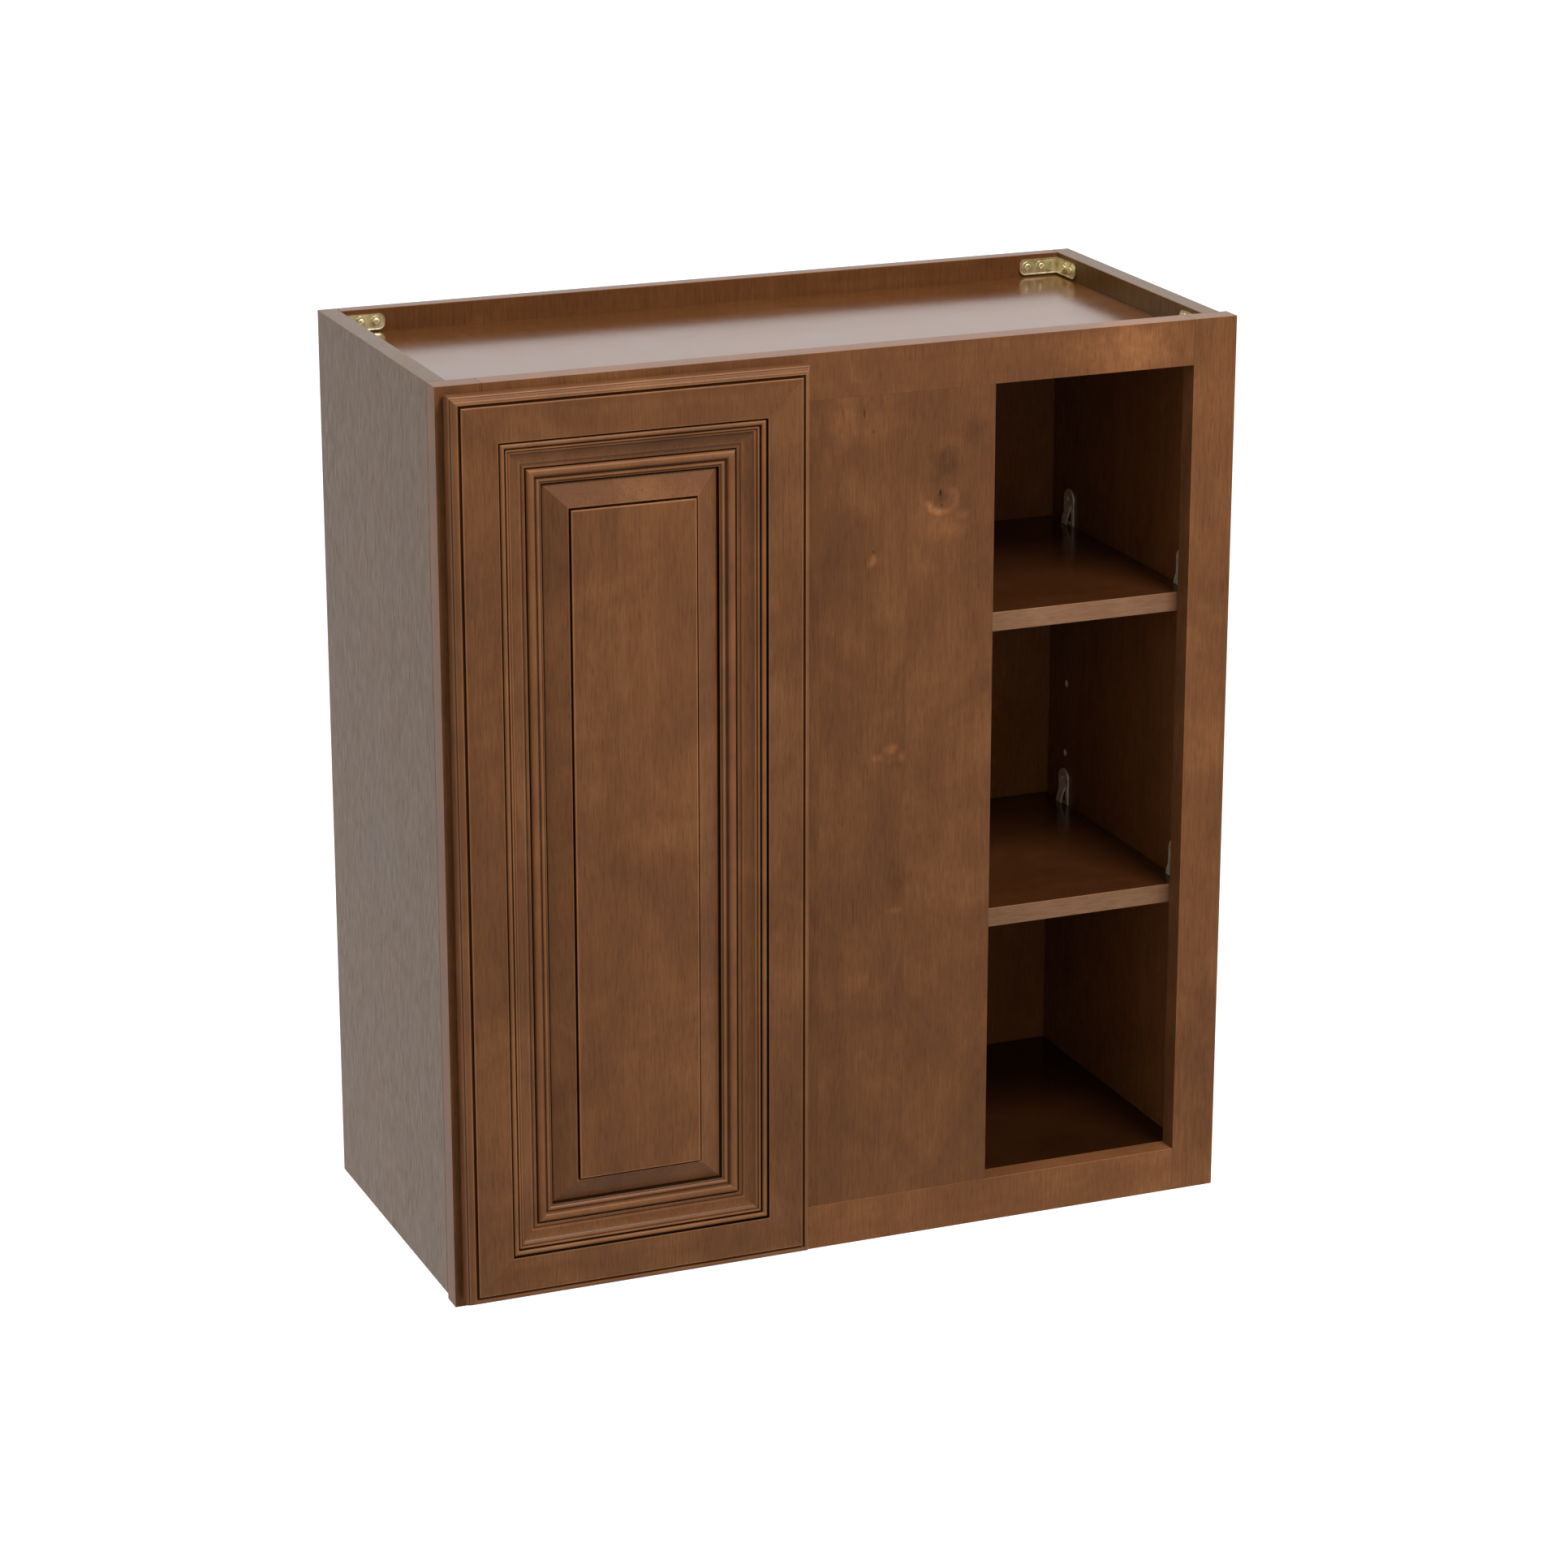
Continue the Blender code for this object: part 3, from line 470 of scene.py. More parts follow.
def metal(name, colour, tarnish, seed, rough, metallic=1.0, brushed=False):
    """Plated sheet metal: soft tarnish, small dents and a rolled or brushed surface."""
    graph = Graph(name)
    cloud = graph.noise((160.0, 160.0, 160.0), seed, detail=4.0, roughness=0.6)
    speck = graph.noise((2400.0, 2400.0, 2400.0), seed + 1.0, detail=2.0)
    brush = graph.noise((3000.0, 3000.0, 140.0) if brushed else (900.0, 900.0, 900.0), seed + 2.0, detail=2.0)
    bright, wear_and_painted_highlight = (tuple(min(1.0, lift * part) for part in colour) for lift in (1.1, 1.25))
    shade = graph.ramp(cloud, [(0.3, tarnish), (0.52, colour), (0.8, bright)])
    # arrises lightened: wear and a painted highlight
    shade = graph.mix(graph.times(graph.attribute("arris"), 0.6), shade, wear_and_painted_highlight)
    roughness = graph.total(rough, graph.centred(cloud, 0.22), graph.centred(speck, 0.12))
    graph.bump(graph.total(graph.times(cloud, 3.0), brush), 0.00006, 0.5)
    return graph.finish(shade, roughness, Metallic=metallic)


def rubber(name):
    """Pale translucent grey rubber with a faint cloudiness."""
    graph = Graph(name)
    cloud = graph.noise((500.0, 500.0, 500.0), 2.0, detail=3.0)
    shade = graph.ramp(cloud, [(0.3, (0.44, 0.44, 0.41)), (0.7, (0.6, 0.6, 0.57))])
    graph.bump(cloud, 0.00005, 0.4)
    return graph.finish(shade, graph.total(0.45, graph.centred(cloud, 0.2)), Subsurface_Weight=0.3,
                        Subsurface_Scale=0.002)


def pale_floor():
    graph = Graph("pale_floor")
    cloud = graph.noise((0.8, 0.8, 0.8), 1.0, detail=3.0)
    shade = graph.ramp(cloud, [(0.3, 0.93), (0.7, 0.95)])
    return graph.finish(shade, 0.9, Emission_Color=(1.0, 1.0, 1.0, 1.0), Emission_Strength=0.45)


# ---------------- mesh tools

def new_object(name, bm):
    bmesh.ops.recalc_face_normals(bm, faces=bm.faces)
    mesh = bpy.data.meshes.new(name)
    bm.to_mesh(mesh)
    bm.free()
    return add_object(name, mesh)


def mesh_of(obj):
    """Take the object away and keep its mesh, for copies."""
    mesh = obj.data
    bpy.data.objects.remove(obj, do_unlink=True)
    return mesh


def combine(obj, bm, operation):
    """Cut the shape in bm out of the object, or join it on."""
    tool = new_object(obj.name + "_tool", bm)
    boolean = obj.modifiers.new("shape", "BOOLEAN")
    boolean.operation = operation
    boolean.solver = "EXACT"
    boolean.object = tool
    bpy.context.view_layer.update()
    graph = bpy.context.evaluated_depsgraph_get()
    mesh = bpy.data.meshes.new_from_object(obj.evaluated_get(graph))
    obj.modifiers.clear()
    obj.data = mesh
    bpy.data.objects.remove(tool, do_unlink=True)


def add_box(bm, low, high):
    size = Vector(high) - Vector(low)
    made = bmesh.ops.create_cube(bm, size=1.0)
    bmesh.ops.scale(bm, vec=size, verts=made["verts"])
    bmesh.ops.translate(bm, vec=(Vector(high) + Vector(low)) / 2, verts=made["verts"])


def cut_box(obj, low, high):
    bm = bmesh.new()
    add_box(bm, low, high)
    combine(obj, bm, "DIFFERENCE")


def placed(spot, turn, axis):
    """Turn about an axis through the origin, then move to the spot."""
    return Matrix.Translation(spot) @ Matrix.Rotation(turn, 4, axis)


def add_rod(bm, centre, axis, radius, length, top_radius=None):
    """A cylinder, or a cone to top_radius, with its middle at centre, along X or Y."""
    turn = Matrix.Rotation(math.pi / 2, 4, "Y") if axis == "X" else Matrix.Rotation(-math.pi / 2, 4, "X")
    bmesh.ops.create_cone(bm, cap_ends=True, segments=28, radius1=radius,
                          radius2=radius if top_radius is None else top_radius,
                          depth=length, matrix=Matrix.Translation(centre) @ turn)


def close_loops(bm, loops):
    """Cap the first and last loop of vertices, and join the loops in turn."""
    caps = [bm.faces.new(loops[0]), bm.faces.new(list(reversed(loops[-1])))]
    for lower, upper in zip(loops, loops[1:]):
        for i in range(len(lower)):
            j = (i + 1) % len(lower)
            bm.faces.new((lower[i], upper[i], upper[j], lower[j]))
    return caps


def add_prism(bm, outline, along, start, end):
    """Extrude a closed outline along X (outline in y, z) or Y (x, z)."""
    return close_loops(bm, [[bm.verts.new((level, a, b) if along == "X" else (a, level, b))
                             for a, b in outline] for level in (start, end)])


def arc(centre, radius_s, radius_d, start, end, steps):
    """Points of an elliptic arc, angles in degrees."""
    points = []
    for i in range(steps + 1):
        angle = math.radians(start + (end - start) * i / steps)
        points.append((centre[0] + radius_s * math.cos(angle), centre[1] + radius_d * math.sin(angle)))
    return points


def thick_line(line, thickness):
    """Closed outline of a bent strip around a middle line."""
    sides = ([], [])
    for i, point in enumerate(line):
        run = (Vector(line[min(i + 1, len(line) - 1)]) - Vector(line[max(i - 1, 0)])).normalized()
        normal = Vector((-run.y, run.x))
        sides[0].append(tuple(Vector(point) + normal * thickness / 2))
        sides[1].append(tuple(Vector(point) - normal * thickness / 2))
    return sides[0] + list(reversed(sides[1]))


def turned(profile, steps):
    """A solid of revolution about Z from (radius, height) points that start and end on the axis."""
    bm = bmesh.new()
    rings = []
    for radius, height in profile:
        if radius == 0.0:
            rings.append([bm.verts.new((0.0, 0.0, height))])
            continue
        angles = [2 * math.pi * i / steps for i in range(steps)]
        rings.append([bm.verts.new((radius * math.cos(a), radius * math.sin(a), height)) for a in angles])
    for lower, upper in zip(rings, rings[1:]):
        for i in range(steps):
            j = (i + 1) % steps
            if len(lower) == 1:
                bm.faces.new((lower[0], upper[i], upper[j]))
            elif len(upper) == 1:
                bm.faces.new((lower[i], lower[j], upper[0]))
            else:
                bm.faces.new((lower[i], lower[j], upper[j], upper[i]))
    return bm


def soften(obj, width, angle=40.0):
    """Round the sharp edges of a finished shape."""
    bevel = obj.modifiers.new("rounded_edges", "BEVEL")
    bevel.width = width
    bevel.segments = 2
    bevel.limit_method = "ANGLE"
    bevel.angle_limit = math.radians(angle)


def crisp_mitres(mesh):
    """Keep the shading of neighbouring slopes apart where they meet in a mitre."""
    for edge in mesh.edges:
        run = mesh.vertices[edge.vertices[1]].co - mesh.vertices[edge.vertices[0]].co
        if abs(abs(run.x) - abs(run.z)) < 1e-6 and abs(run.x) > 1e-6:
            edge.use_edge_sharp = True


def finish_piece(obj, materials, node, sharp=50.0, replace=True):
    """Give a piece its materials and shading, and put it in its CAD node's place or beside it."""
    obj.data.materials.clear()
    for material in materials:
        obj.data.materials.append(material)
    obj.data.shade_smooth()
    obj.data.set_sharp_from_angle(angle=math.radians(sharp))
    weighted = obj.modifiers.new("flat_faces_shade_flat", "WEIGHTED_NORMAL")
    weighted.keep_sharp = True
    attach(obj, BODY_OF[node])
    if replace:
        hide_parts(node)


# ---------------- boards

def rounded_board(name, low, high, radius):
    """A board with rounded edges, whose arrises are marked for lighter colour: wear and a painted highlight.
    """
    bm = bmesh.new()
    add_box(bm, low, high)
    bmesh.ops.bevel(bm, geom=list(bm.edges), offset=radius, segments=3, profile=0.5,
                    affect="EDGES", clamp_overlap=True)
    arris = bm.verts.layers.float.new("arris")
    for vert in bm.verts:
        on_face = any(min(abs(vert.co[i] - low[i]), abs(vert.co[i] - high[i])) < 1e-6 for i in range(3))
        vert[arris] = 0.0 if on_face else 1.0
    return new_object(name, bm)


def split_level(obj, levels):
    """Cut the faces at these heights, so that each side of a cut can have its own finish."""
    bm = bmesh.new()
    bm.from_mesh(obj.data)
    for level in levels:
        bmesh.ops.bisect_plane(bm, geom=[*bm.verts, *bm.edges, *bm.faces],
                               plane_co=(0.0, 0.0, level), plane_no=(0.0, 0.0, 1.0))
    bm.to_mesh(obj.data)
    bm.free()


def paint_inside(obj, inside):
    """Give the second material to the faces that inside(centre, normal) picks."""
    for polygon in obj.data.polygons:
        polygon.material_index = 1 if inside(polygon.center, polygon.normal) else 0


def nodes_like(start):
    return [node for node in frame["nodes"] if node.startswith(start)]


def inside_levels():
    return DECK_BOTTOM[1].z, DECK_TOP[0].z


def between_decks(centre):
    low, high = inside_levels()
    return low - NEAR < centre.z < high + NEAR


def pin_hole_places():
    """Height and depth of each shelf-pin hole, worked out from the clips' places."""
    clips = [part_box(node) for node in nodes_like("shelf_clip_")]
    heights = sorted({round(low.z + CLIP_BELOW, 5) for low, high in clips})
    depths = sorted({round((low.y + high.y) / 2, 5) for low, high in clips})
    rows = 5
    pitch = (heights[-1] - heights[0]) / (rows - 1)
    return [(heights[0] + row * pitch, y) for row in range(rows) for y in depths]


def build_sides(interior, drilled):
    for side, inner, inward, seed in (("left", INNER_L, 1.0, 11.0), ("right", INNER_R, -1.0, 12.0)):
        node = "side_panel_" + side
        low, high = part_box(node)
        panel = rounded_board(node + "_board", low, high, ROUND_SIDE)
        bm = bmesh.new()
        for z, y in pin_hole_places():
            add_rod(bm, (inner, y, z), "X", HOLE_RADIUS, 2 * HOLE_DEPTH)
        combine(panel, bm, "DIFFERENCE")
        bm = bmesh.new()
        deep_end, open_end = HOLE_RADIUS - 0.0002, HOLE_RADIUS + FLARE
        for z, y in pin_hole_places():
            add_rod(bm, (inner, y, z), "X", deep_end if inward > 0 else open_end, FLARE_DEPTH,
                    top_radius=open_end if inward > 0 else deep_end)
        combine(panel, bm, "DIFFERENCE")
        split_level(panel, inside_levels())
        outside = wood(node + "_stain", "Z", seed, SIDE_STAIN, tone=0.72, mottle=0.5, sheen=0.38, coat=0.21,
                       ior=FRONT_IOR, relief=1.0, glint=1.15, bare=-0.0004)
        finish_piece(panel, [outside, interior, drilled], node)
        reach = inner - inward * (HOLE_DEPTH + NEAR)
        paint_inside(panel, lambda centre, normal: between_decks(centre) and centre.y < -NEAR
                     and (centre.x - reach) * inward > 0 and abs(centre.y - FRAME_BACK) > NEAR)
        for polygon in panel.data.polygons:
            if polygon.material_index == 1 and (inner - polygon.center.x) * inward > 0.0001:
                polygon.material_index = 2


def build_panels(walls, floor):
    low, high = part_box("back_panel")
    back = rounded_board("back_panel_board", low, high, ROUND_BOX)
    split_level(back, inside_levels())
    back_stain = wood("back_panel_stain", "X", 13.0, OUTSIDE_STAIN, tone=0.82, mottle=0.6, fine="Z",
                      bare=-0.0005)
    finish_piece(back, [back_stain, walls], "back_panel")
    paint_inside(back, lambda centre, normal: between_decks(centre) and normal.y < -0.5)
    for node, seed, inward in (("top_panel", 14.0, -1.0), ("bottom_panel", 15.0, 1.0)):
        low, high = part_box(node)
        deck = rounded_board(node + "_board", low, high, ROUND_BOX)
        outside = wood(node + "_stain", "X", seed, OUTSIDE_STAIN, tone=0.76, mottle=0.5, sheen=0.17,
                       relief=0.05, fine="Y")
        finish_piece(deck, [outside, floor if inward > 0 else walls], node)
        paint_inside(deck, lambda centre, normal: normal.z * inward > 0.5)


def build_face_frame():
    low_edge, high_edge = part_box("frame_rail_bottom")[1].z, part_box("frame_rail_top")[0].z
    tight = 0.00003  # the glued joints of the blind panel, closer than the CAD gap
    rows = (("frame_stile_left", "Z", 0.98, ROUND_FRAME), ("frame_stile_right", "Z", 1.18, ROUND_FRAME),
            ("frame_rail_top", "X", 1.07, ROUND_FRAME), ("frame_rail_bottom", "X", 1.26, ROUND_FRAME),
            ("frame_stile_centre", "Z", 0.9, ROUND_GLUED), ("blind_board_left", "Z", 0.94, ROUND_GLUED),
            ("blind_board_right", "Z", 0.97, ROUND_GLUED))
    for seed, (node, grain, tone, radius) in enumerate(rows, 21):
        low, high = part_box(node)
        if node in ("frame_stile_centre", "blind_board_left", "blind_board_right"):
            low.z, high.z = low_edge + tight, high_edge - tight
        if node in ("frame_stile_centre", "blind_board_left"):
            high.x += GAP - tight
        board = rounded_board(node + "_board", low, high, radius)
        if node == "frame_stile_left":
            bm = bmesh.new()
            for screw in nodes_like("hinge_screw_"):
                place = screw_centre(screw)
                add_rod(bm, (STILE_L_INNER, place.y, place.z), "X", PILOT_RADIUS, PILOT_LENGTH)
            combine(board, bm, "DIFFERENCE")
        material = wood(node + "_stain", grain, seed, FRONT_STAIN, tone=tone, coat=FRAME_COAT,
                        ior=FRONT_IOR, fine="Z", spots=FIGURE_AND_PAINTED_LIGHT.get(node, ()))
        finish_piece(board, [material], node)


def build_shelves(interior):
    for label, seed in (("lower", 31.0), ("upper", 32.0)):
        node = "shelf_" + label
        low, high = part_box(node)
        shelf = rounded_board(node + "_board", low, high, ROUND_BOX)
        finish_piece(shelf, [interior], node)
        node = "shelf_band_" + label
        low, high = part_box(node)
        band = rounded_board(node + "_strip", low, high, ROUND_FRAME)
        finish_piece(band, [wood(node + "_stain", "X", seed, BAND_STAIN)], node)


# ---------------- door

def member_profile():
    """Door stile or rail in section: (distance in from the door's edge, height over its back)."""
    face = DOOR_THICK
    points = [(0.0007, 0.0), (0.0002, 0.0002), (0.0, 0.0007), (0.0, 0.0122), (0.0004, 0.0127)]
    points += [(0.0012, 0.013)]
    points += arc((0.0056, 0.0145), 0.0044, 0.0041, 180, 92, 14)  # rounded outer edge
    points += [(0.0062, 0.0166), (0.0066, 0.0163), (0.0074, 0.0163), (0.0077, 0.0166)]
    points += arc((0.0087, face - 0.0007), 0.0009, 0.0007, 180, 90, 4)  # arris of the flat
    points += arc((0.037, face - 0.0005), 0.0005, 0.0005, 90, 10, 4)
    points += [(0.0376, face - 0.0034), (0.0384, face - 0.0036)]  # groove
    points += arc((0.0407, 0.016), 0.0021, 0.0023, 170, 10, 12)  # small bead
    points += [(0.0431, 0.015), (0.0437, 0.015), (0.0441, 0.016), (0.0451, 0.0162), (0.0454, 0.0159)]
    points += [(0.0459, 0.015)]
    points += arc((0.058, 0.0168), 0.0111, 0.0061, 200, 262, 12)  # hollow slope
    points += [(0.0579, 0.01), (0.0584, 0.0103), (0.0605, 0.0103), (0.0609, 0.01), (0.0612, 0.0094)]
    points += [(DOOR_MEMBER, 0.0092), (DOOR_MEMBER, RABBET_DEPTH)]
    points += [(RABBET_START, RABBET_DEPTH), (RABBET_START, 0.0)]
    return points


def moulding_profile():
    """Applied inner moulding in section."""
    low = RABBET_DEPTH + GAP
    points = [(MOULD_START, low), (MOULD_START, 0.0093)]
    points += arc((0.0654, 0.0094), 0.0034, 0.0031, 172, 8, 16)  # main bead
    points += [(0.0695, 0.0087), (0.0704, 0.0087), (0.0707, 0.0092)]
    points += arc((0.0719, 0.0088), 0.0011, 0.0007, 140, 35, 5)  # narrow fillet
    points += [(0.0734, 0.0085), (0.0738, 0.0083), (0.0746, 0.0081), (MOULD_END, 0.0079), (MOULD_END, low)]
    return points


def panel_profile():
    """Raised panel from its tongue's back to the edge of its field."""
    tongue_top = RABBET_DEPTH - GAP
    rings = [(RABBET_START + GAP, TONGUE_LOW), (RABBET_START + GAP, tongue_top)]
    rings += [(PANEL_STEP, tongue_top), (PANEL_STEP, 0.0052), (PANEL_STEP + 0.0003, 0.0057)]
    rings += [(0.0948, 0.0141)]  # bevel
    rings += [(0.0951, 0.0139), (0.0955, 0.0128), (0.0961, 0.0127), (0.0965, 0.0145)]
    rings += arc((0.0975, 0.0152), 0.0009, 0.0008, 175, 95, 5)  # arris of the field
    rings += [(PANEL_FIELD, 0.016)]
    return rings


def run_direction(profile, start, step):
    """Direction in which a closed section runs over a short reach before or after a point."""
    left = 0.0009
    here = Vector(profile[start])
    i = start
    while True:
        j = (i + step) % len(profile)
        run = Vector(profile[j]) - Vector(profile[i])
        if run.length >= left:
            return ((Vector(profile[i]) + run * (left / run.length)) - here).normalized() * step
        left -= run.length
        i = j


def corner_marks(profile):
    """How much each point of a section stands out (positive) or in (negative)."""
    marks = []
    for i in range(len(profile)):
        before, after = run_direction(profile, i, -1), run_direction(profile, i, 1)
        marks.append(before.y * after.x - before.x * after.y)
    return marks


def marked(profile):
    """Section points with their marks, and plain points beside the corners of long flats."""
    margin = 0.0005
    marks = corner_marks(profile)
    rows = []
    for i, point in enumerate(profile):
        rows.append((point, marks[i]))
        here, there = Vector(point), Vector(profile[(i + 1) % len(profile)])
        if (there - here).length > 4 * margin:
            step = (there - here).normalized() * margin
            rows += [(tuple(here + step), 0.0), (tuple(there - step), 0.0)]
    return rows


def mark_layers(bm):
    return bm.verts.layers.float.new("arris"), bm.verts.layers.float.new("hollow")


def set_marks(vert, layers, mark):
    vert[layers[0]] = min(1.0, max(0.0, 1.4 * mark))
    vert[layers[1]] = min(1.0, max(0.0, -1.4 * mark))


def mitred_piece(name, profile, side):
    """Run a section along one side of the door, with mitred ends."""
    upright = side in ("left", "right")
    rows = marked(profile)
    bm = bmesh.new()
    layers = mark_layers(bm)
    rings = []
    glint_tip = 0.0012  # length of the painted glint at each mitre's tip
    for end, inset in ((0, 0.0), (0, glint_tip), (1, glint_tip), (1, 0.0)):
        ring = []
        for (s, d), mark in rows:
            trim = s + MITRE_GAP + inset
            if upright:
                x = DOOR_L + s if side == "left" else DOOR_R - s
                z = DOOR_T - trim if end else DOOR_B + trim
            else:
                x = DOOR_R - trim if end else DOOR_L + trim
                z = DOOR_T - s if side == "top" else DOOR_B + s
            vert = bm.verts.new((x, DOOR_BACK - d, z))
            # each mitre's tip gets an extra painted glint
            set_marks(vert, layers, mark + 0.4 if mark > 0.1 and inset == 0.0 else mark)
            ring.append(vert)
        rings.append(ring)
    close_loops(bm, rings)
    return new_object(name, bm)


def raised_panel(name):
    """The door's centre panel, closed from its tongue up to its field."""
    rows = marked(panel_profile())[:-2]
    bm = bmesh.new()
    layers = mark_layers(bm)
    loops = []
    for (s, d), mark in rows:
        loop = []
        for x, z in ((DOOR_L + s, DOOR_B + s), (DOOR_R - s, DOOR_B + s), (DOOR_R - s, DOOR_T - s),
                     (DOOR_L + s, DOOR_T - s)):
            vert = bm.verts.new((x, DOOR_BACK - d, z))
            set_marks(vert, layers, 0.0 if s in (RABBET_START + GAP, PANEL_FIELD) else mark)
            loop.append(vert)
        loops.append(loop)
    close_loops(bm, loops)
    return new_object(name, bm)


def cut_hinge_pockets(stile):
    """Rout the pockets for the hinge cases and their flanges into the stile's back."""
    for level in ("bottom", "top"):
        low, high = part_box("hinge_case_" + level)
        case = Vector((0.0358, 0.0151, 0.04))  # what the case takes up in the stile
        flange_deep = 0.001
        centre = (low.z + high.z) / 2
        past = 0.005
        cut_box(stile, (low.x - GAP, DOOR_BACK - case.y - GAP, centre - case.z / 2 - GAP),
                (low.x + case.x + GAP, DOOR_BACK + past, centre + case.z / 2 + GAP))
        cut_box(stile, (low.x - GAP, DOOR_BACK - flange_deep - GAP, low.z - GAP),
                (high.x + GAP, DOOR_BACK + past, high.z + GAP))


def build_door():
    tones = {"left": 0.97, "right": 0.95, "top": 0.97, "bottom": 1.0}
    for index, side in enumerate(("left", "right", "top", "bottom")):
        kind = "stile" if side in ("left", "right") else "rail"
        grain = "Z" if kind == "stile" else "X"
        for node, profile, seed in (("door_%s_%s" % (kind, side), member_profile(), 41.0 + index),
                                    ("door_moulding_" + side, moulding_profile(), 51.0 + index)):
            piece = mitred_piece(node + "_member", profile, side)
            if node == "door_stile_left":
                cut_hinge_pockets(piece)
            material = wood(node + "_stain", grain, seed, FRONT_STAIN, tone=tones[side], coat=DOOR_COAT,
                            ior=FRONT_IOR, fine="Z", glazed_and_shaded=True)
            finish_piece(piece, [material], node, sharp=38.0)
    panel = raised_panel("door_panel_raised")
    stain = wood("door_panel_stain", "Z", 61.0, FRONT_STAIN, tone=1.08, coat=DOOR_COAT, ior=FRONT_IOR,
                 stave=(-0.202, 0.93), glazed_and_shaded=True)
    finish_piece(panel, [stain], "door_panel", sharp=18.0)
    crisp_mitres(panel.data)


def build_bumpers():
    material = rubber("bumper_rubber")
    for level in ("bottom", "top"):
        node = "bumper_" + level
        low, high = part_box(node)
        radius = (high.x - low.x) / 2
        thick = high.y - low.y
        edge = 0.0004
        profile = [(0.0, 0.0), (radius - 0.0002, 0.0), (radius, 0.0002), (radius, thick - edge)]
        profile += [(radius - edge + edge * math.cos(a), thick - edge + edge * math.sin(a))
                    for a in (math.radians(20 * i) for i in range(1, 5))]
        profile += [(radius * 0.5, thick - 0.00003), (0.0, thick)]
        bumper = new_object(node + "_dome", turned(profile, 40))
        bumper.data.transform(placed(((low.x + high.x) / 2, low.y, (low.z + high.z) / 2), -math.pi / 2, "X"))
        finish_piece(bumper, [material], node)


# ---------------- metalwork

def screw_mesh(head_radius, head_tall, shank_radius, shank_long):
    """A pan-head screw along Z with a cross recess, its head's underside at the origin."""
    crown = head_tall * 0.42
    profile = [(0.0, -shank_long), (shank_radius * 0.35, -shank_long + 0.0006)]
    profile += [(shank_radius, -shank_long + 0.0022), (shank_radius, 0.0), (head_radius - 0.0002, 0.0),
                (head_radius, 0.0002), (head_radius, head_tall - crown)]
    steps = 6
    for i in range(1, steps):
        angle = math.radians(90 * i / steps)
        profile.append((head_radius * math.cos(angle) ** 0.8, head_tall - crown + crown * math.sin(angle)))
    profile.append((0.0, head_tall))
    screw = new_object("screw_blank", turned(profile, 28))
    for turn in (0.0, math.pi / 2):
        bm = bmesh.new()
        wide, long, deep = head_radius * 0.17, head_radius * 0.62, head_tall * 0.62
        add_prism(bm, [(-long, head_tall * 1.3), (-long * 0.45, head_tall - deep),
                       (long * 0.45, head_tall - deep), (long, head_tall * 1.3)], "Y", -wide, wide)
        bmesh.ops.rotate(bm, verts=bm.verts, cent=(0.0, 0.0, 0.0), matrix=Matrix.Rotation(turn, 3, "Z"))
        combine(screw, bm, "DIFFERENCE")
    return mesh_of(screw)


def screw_centre(node):
    low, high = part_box(node)
    return (low + high) / 2


def build_hinge_metal(nickel, steel):
    for level in ("bottom", "top"):
        for node in ("hinge_arm_" + level, "hinge_case_" + level):
            part = frame["nodes"][node]
            weld = part.modifiers.new("joined_corners", "WELD")
            weld.merge_threshold = 0.00001
            soften(part, 0.00022, angle=35.0)
            part.modifiers.new("flat_faces_shade_flat", "WEIGHTED_NORMAL")
            part.material_slots[0].link = "OBJECT"
            part.material_slots[0].material = nickel
        node = "hinge_pin_" + level
        low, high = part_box(node)
        radius = (high.x - low.x) / 2
        long = high.z - low.z
        head = 0.0004
        profile = [(0.0, 0.0), (radius - head / 2, 0.0), (radius, head), (radius, long - head),
                   (radius - head / 2, long), (0.0, long)]
        pin = new_object(node + "_rivet", turned(profile, 24))
        pin.data.transform(Matrix.Translation(((low.x + high.x) / 2, (low.y + high.y) / 2, low.z)))
        finish_piece(pin, [steel], node)
    for node in nodes_like("hinge_screw_"):
        low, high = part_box(node)
        neck = high.x - HINGE_SCREW[1]  # underside of the head
        screw = add_object(node + "_pan_head", screw_mesh(*HINGE_SCREW, neck - low.x))
        place = screw_centre(node)
        screw.data.transform(placed((neck, place.y, place.z), math.pi / 2, "Y"))
        finish_piece(screw, [steel], node, sharp=35.0)


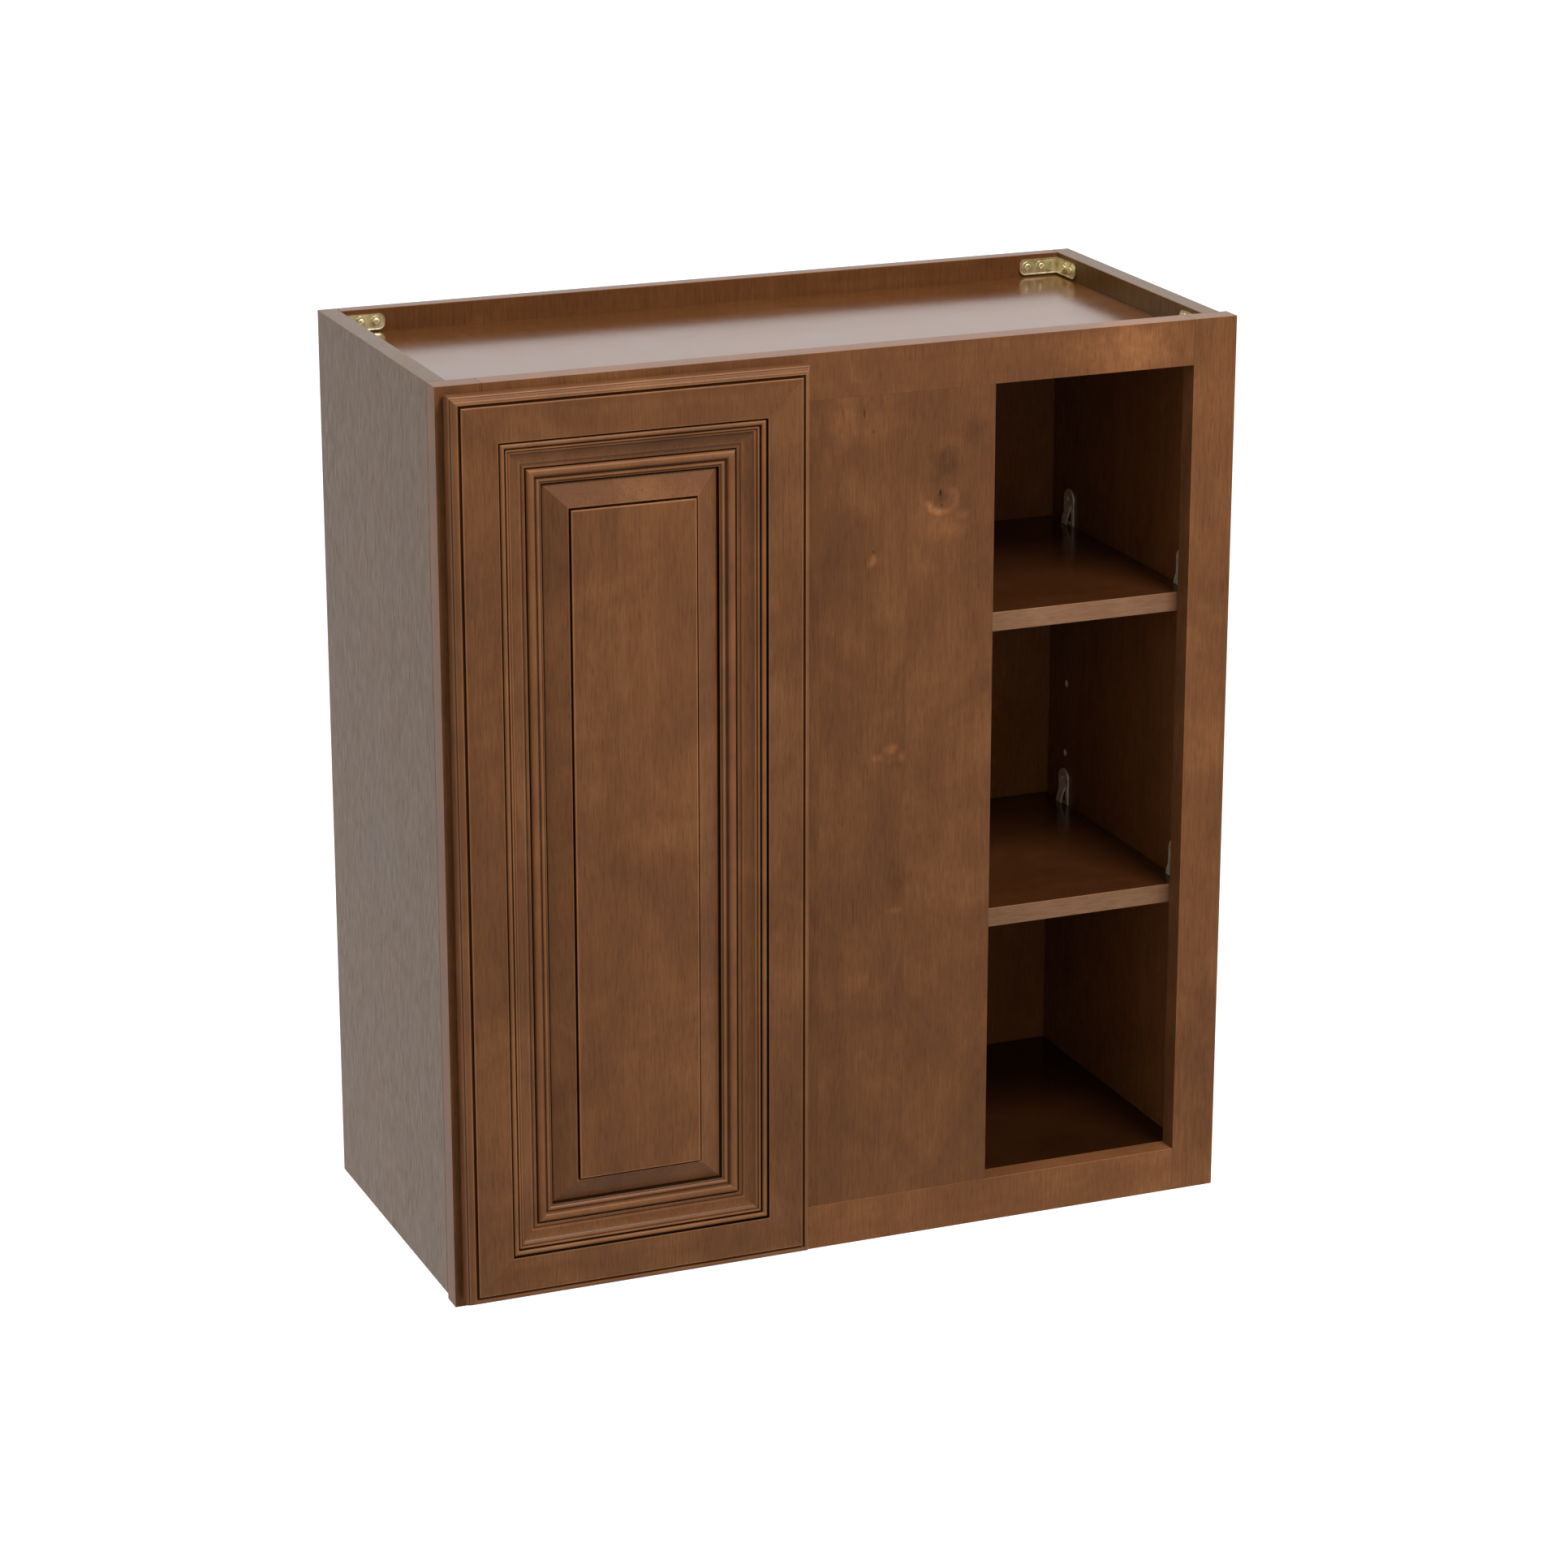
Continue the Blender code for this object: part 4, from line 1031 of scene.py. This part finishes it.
def clip_mesh():
    """A sprung shelf clip on a wall at x = 0, reaching +X, with its pin's axis through z = 0."""
    face = GAP + CLIP_PLATE
    crown_centre = CLIP_CROWN - CLIP_HALF_WIDTH
    shelf_top = SHELF_LOW + SHELF_THICK
    outline = [(CLIP_HALF_WIDTH - 0.001, -CLIP_BELOW), (CLIP_HALF_WIDTH, -CLIP_BELOW + 0.001)]
    outline += arc((0.0, crown_centre), CLIP_HALF_WIDTH, CLIP_HALF_WIDTH, 0, 180, 28)
    outline += [(-CLIP_HALF_WIDTH, -CLIP_BELOW + 0.001), (-CLIP_HALF_WIDTH + 0.001, -CLIP_BELOW)]
    bm = bmesh.new()
    front = add_prism(bm, outline, "X", GAP, face)[1]
    bmesh.ops.inset_individual(bm, faces=[front], thickness=0.0014, depth=0.0)  # raised rim
    bmesh.ops.inset_individual(bm, faces=[front], thickness=0.0005, depth=-0.0005)
    clip = new_object("clip_blank", bm)

    rise = shelf_top + 0.019  # where the tongue leaves the plate
    tongue_half = 0.005
    window = 0.0006  # slit around the tongue
    cut_box(clip, (-0.001, -tongue_half - window, shelf_top + 0.0015),
            (2 * face, tongue_half + window, rise))
    bm = bmesh.new()
    bmesh.ops.create_uvsphere(bm, u_segments=20, v_segments=12, radius=0.0026,
                              matrix=Matrix.Translation((face + 0.0016, 0.0, crown_centre + 0.0015)))
    combine(clip, bm, "DIFFERENCE")

    foot = shelf_top + GAP
    steps = 14
    line = []
    for i in range(steps + 1):
        share = i / steps
        lean = share * share * (3 - 2 * share)
        line.append((face - 0.00055 + (0.0064 - face) * (0.35 * share + 0.65 * lean),
                     rise + 0.0012 - (rise + 0.0012 - foot) * share))
    bm = bmesh.new()
    add_prism(bm, thick_line(line, 0.0009), "Y", -tongue_half, tongue_half)
    combine(clip, bm, "UNION")

    bm = bmesh.new()
    tab_top = SHELF_LOW - GAP
    root = GAP + CLIP_PLATE / 2
    tab = [(root, tab_top - CLIP_PLATE), (0.012, tab_top - CLIP_PLATE), (0.0128, tab_top - 0.0006),
           (0.0128, tab_top - 0.0002), (0.0124, tab_top), (root, tab_top)]
    add_prism(bm, tab, "Y", -tongue_half, tongue_half)
    combine(clip, bm, "UNION")
    reach = 0.009
    bm = bmesh.new()
    add_rod(bm, (-reach / 2 + root / 2, 0.0, 0.0), "X", PIN_RADIUS, reach + root)
    combine(clip, bm, "UNION")
    return mesh_of(clip)


def build_clips(nickel):
    mesh = clip_mesh()
    for node in nodes_like("shelf_clip_"):
        low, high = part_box(node)
        turn = 0.0 if "_left_" in node else math.pi
        wall = INNER_R if turn else INNER_L
        clip = add_object(node + "_sprung", mesh.copy())
        clip.data.transform(placed((wall, (low.y + high.y) / 2, low.z + CLIP_BELOW), turn, "Z"))
        soften(clip, 0.00018)
        finish_piece(clip, [nickel], node)


def bracket_leg(bm, along_x):
    """One stamped leg of a bracket, with a rolled rim."""
    half, far, corner = BRACKET_HALF, BRACKET_LEG, BRACKET_CORNER
    outline = [(GAP, -half)] + arc((far - corner, -half + corner), corner, corner, -90, 0, 8)
    outline += arc((far - corner, half - corner), corner, corner, 0, 90, 8) + [(GAP, half)]
    if along_x:
        caps = add_prism(bm, outline, "Y", -GAP - BRACKET_THICK, -GAP)
        face = caps[0]
    else:
        caps = add_prism(bm, [(-s, height) for s, height in outline], "X", GAP, GAP + BRACKET_THICK)
        face = caps[1]
    bmesh.ops.recalc_face_normals(bm, faces=bm.faces)
    bmesh.ops.inset_individual(bm, faces=[face], thickness=0.0009, depth=0.0)
    bmesh.ops.inset_individual(bm, faces=[face], thickness=0.0007, depth=-0.0005)


def bracket_mesh():
    """A stamped angle plate in a corner at the origin, with legs along +X and -Y."""
    bm = bmesh.new()
    bracket_leg(bm, True)
    bracket = new_object("bracket_blank", bm)
    bm = bmesh.new()
    bracket_leg(bm, False)
    combine(bracket, bm, "UNION")
    raised, thin = BRACKET_THICK + 0.0003, BRACKET_THICK * BRACKET_DISH
    ring, dish, hole = 0.0047, 0.0037, 0.0019  # radii around each screw
    for axis in ("Y", "X"):
        for operation, radius, thick, start in (("UNION", ring, raised, GAP),
                                                ("DIFFERENCE", dish, BRACKET_THICK * 2, GAP + thin),
                                                ("DIFFERENCE", hole, BRACKET_THICK * 4, -BRACKET_THICK)):
            bm = bmesh.new()
            for along in BRACKET_HOLES:
                out = start + thick / 2
                centre = (along, -out, 0.0) if axis == "Y" else (out, -along, 0.0)
                add_rod(bm, centre, axis, radius, thick)
            combine(bracket, bm, operation)
    return mesh_of(bracket)


def build_brackets(brass):
    plate = bracket_mesh()
    screw = screw_mesh(*BRACKET_SCREW, 0.009)
    turns = {"back_left": (INNER_L, BACK_FACE, 0.0), "back_right": (INNER_R, BACK_FACE, -math.pi / 2),
             "front_right": (INNER_R, FRAME_BACK, math.pi), "front_left": (INNER_L, FRAME_BACK, math.pi / 2)}
    seat = GAP + BRACKET_THICK * BRACKET_DISH + 0.0001
    for level in ("top", "bottom"):
        for corner, (x, y, turn) in turns.items():
            node = "bracket_%s_%s" % (level, corner)
            low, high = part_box(node)
            place = placed((x, y, (low.z + high.z) / 2), turn, "Z")
            bracket = add_object(node + "_stamped", plate.copy())
            bracket.data.transform(place)
            soften(bracket, 0.0003)
            finish_piece(bracket, [brass], node)
            bm = bmesh.new()
            for index, along in enumerate(BRACKET_HOLES):
                spin = Matrix.Rotation(0.5 + 0.9 * index, 4, "Z")
                for spot, axis in (((along, -seat, 0.0), "X"), ((seat, -along, 0.0), "Y")):
                    one = screw.copy()
                    one.transform(place @ placed(spot, math.pi / 2, axis) @ spin)
                    bm.from_mesh(one)
                    bpy.data.meshes.remove(one)
            screws = new_object(node + "_screws", bm)
            finish_piece(screws, [brass], node, sharp=35.0, replace=False)


def build():
    place_camera()
    light_studio()
    walls = wood("wall_stain", "Z", 5.0, WALL_STAIN, tone=0.8, sheen=0.24)
    # the shelves, in the stain darkened as painted shade
    shelves = wood("shelf_stain", "X", 7.0, SHELF_STAIN_AND_SHADE, tone=0.95, sheen=0.17, coat=0.4)
    # the cabinet's floor: the shelves' stain darkened further as painted shade
    floor = wood("inner_floor_painted_shade", "X", 8.0, SHELF_STAIN_AND_SHADE, tone=0.42, sheen=0.17, coat=0.4)
    brass = metal("brass_plate", *BRASS, 71.0, rough=0.24, metallic=0.8)
    nickel = metal("nickel_plate", *NICKEL, 72.0, rough=0.32, metallic=0.5, brushed=True)
    steel = metal("zinc_steel", *STEEL, 73.0, rough=0.3)
    drilled = wood("drilled_maple", "X", 6.0, DRILLED_MAPLE, sheen=0.7)
    build_sides(walls, drilled)
    build_panels(walls, floor)
    build_face_frame()
    build_shelves(shelves)
    build_door()
    build_bumpers()
    build_hinge_metal(nickel, steel)
    build_clips(nickel)
    build_brackets(brass)


build()
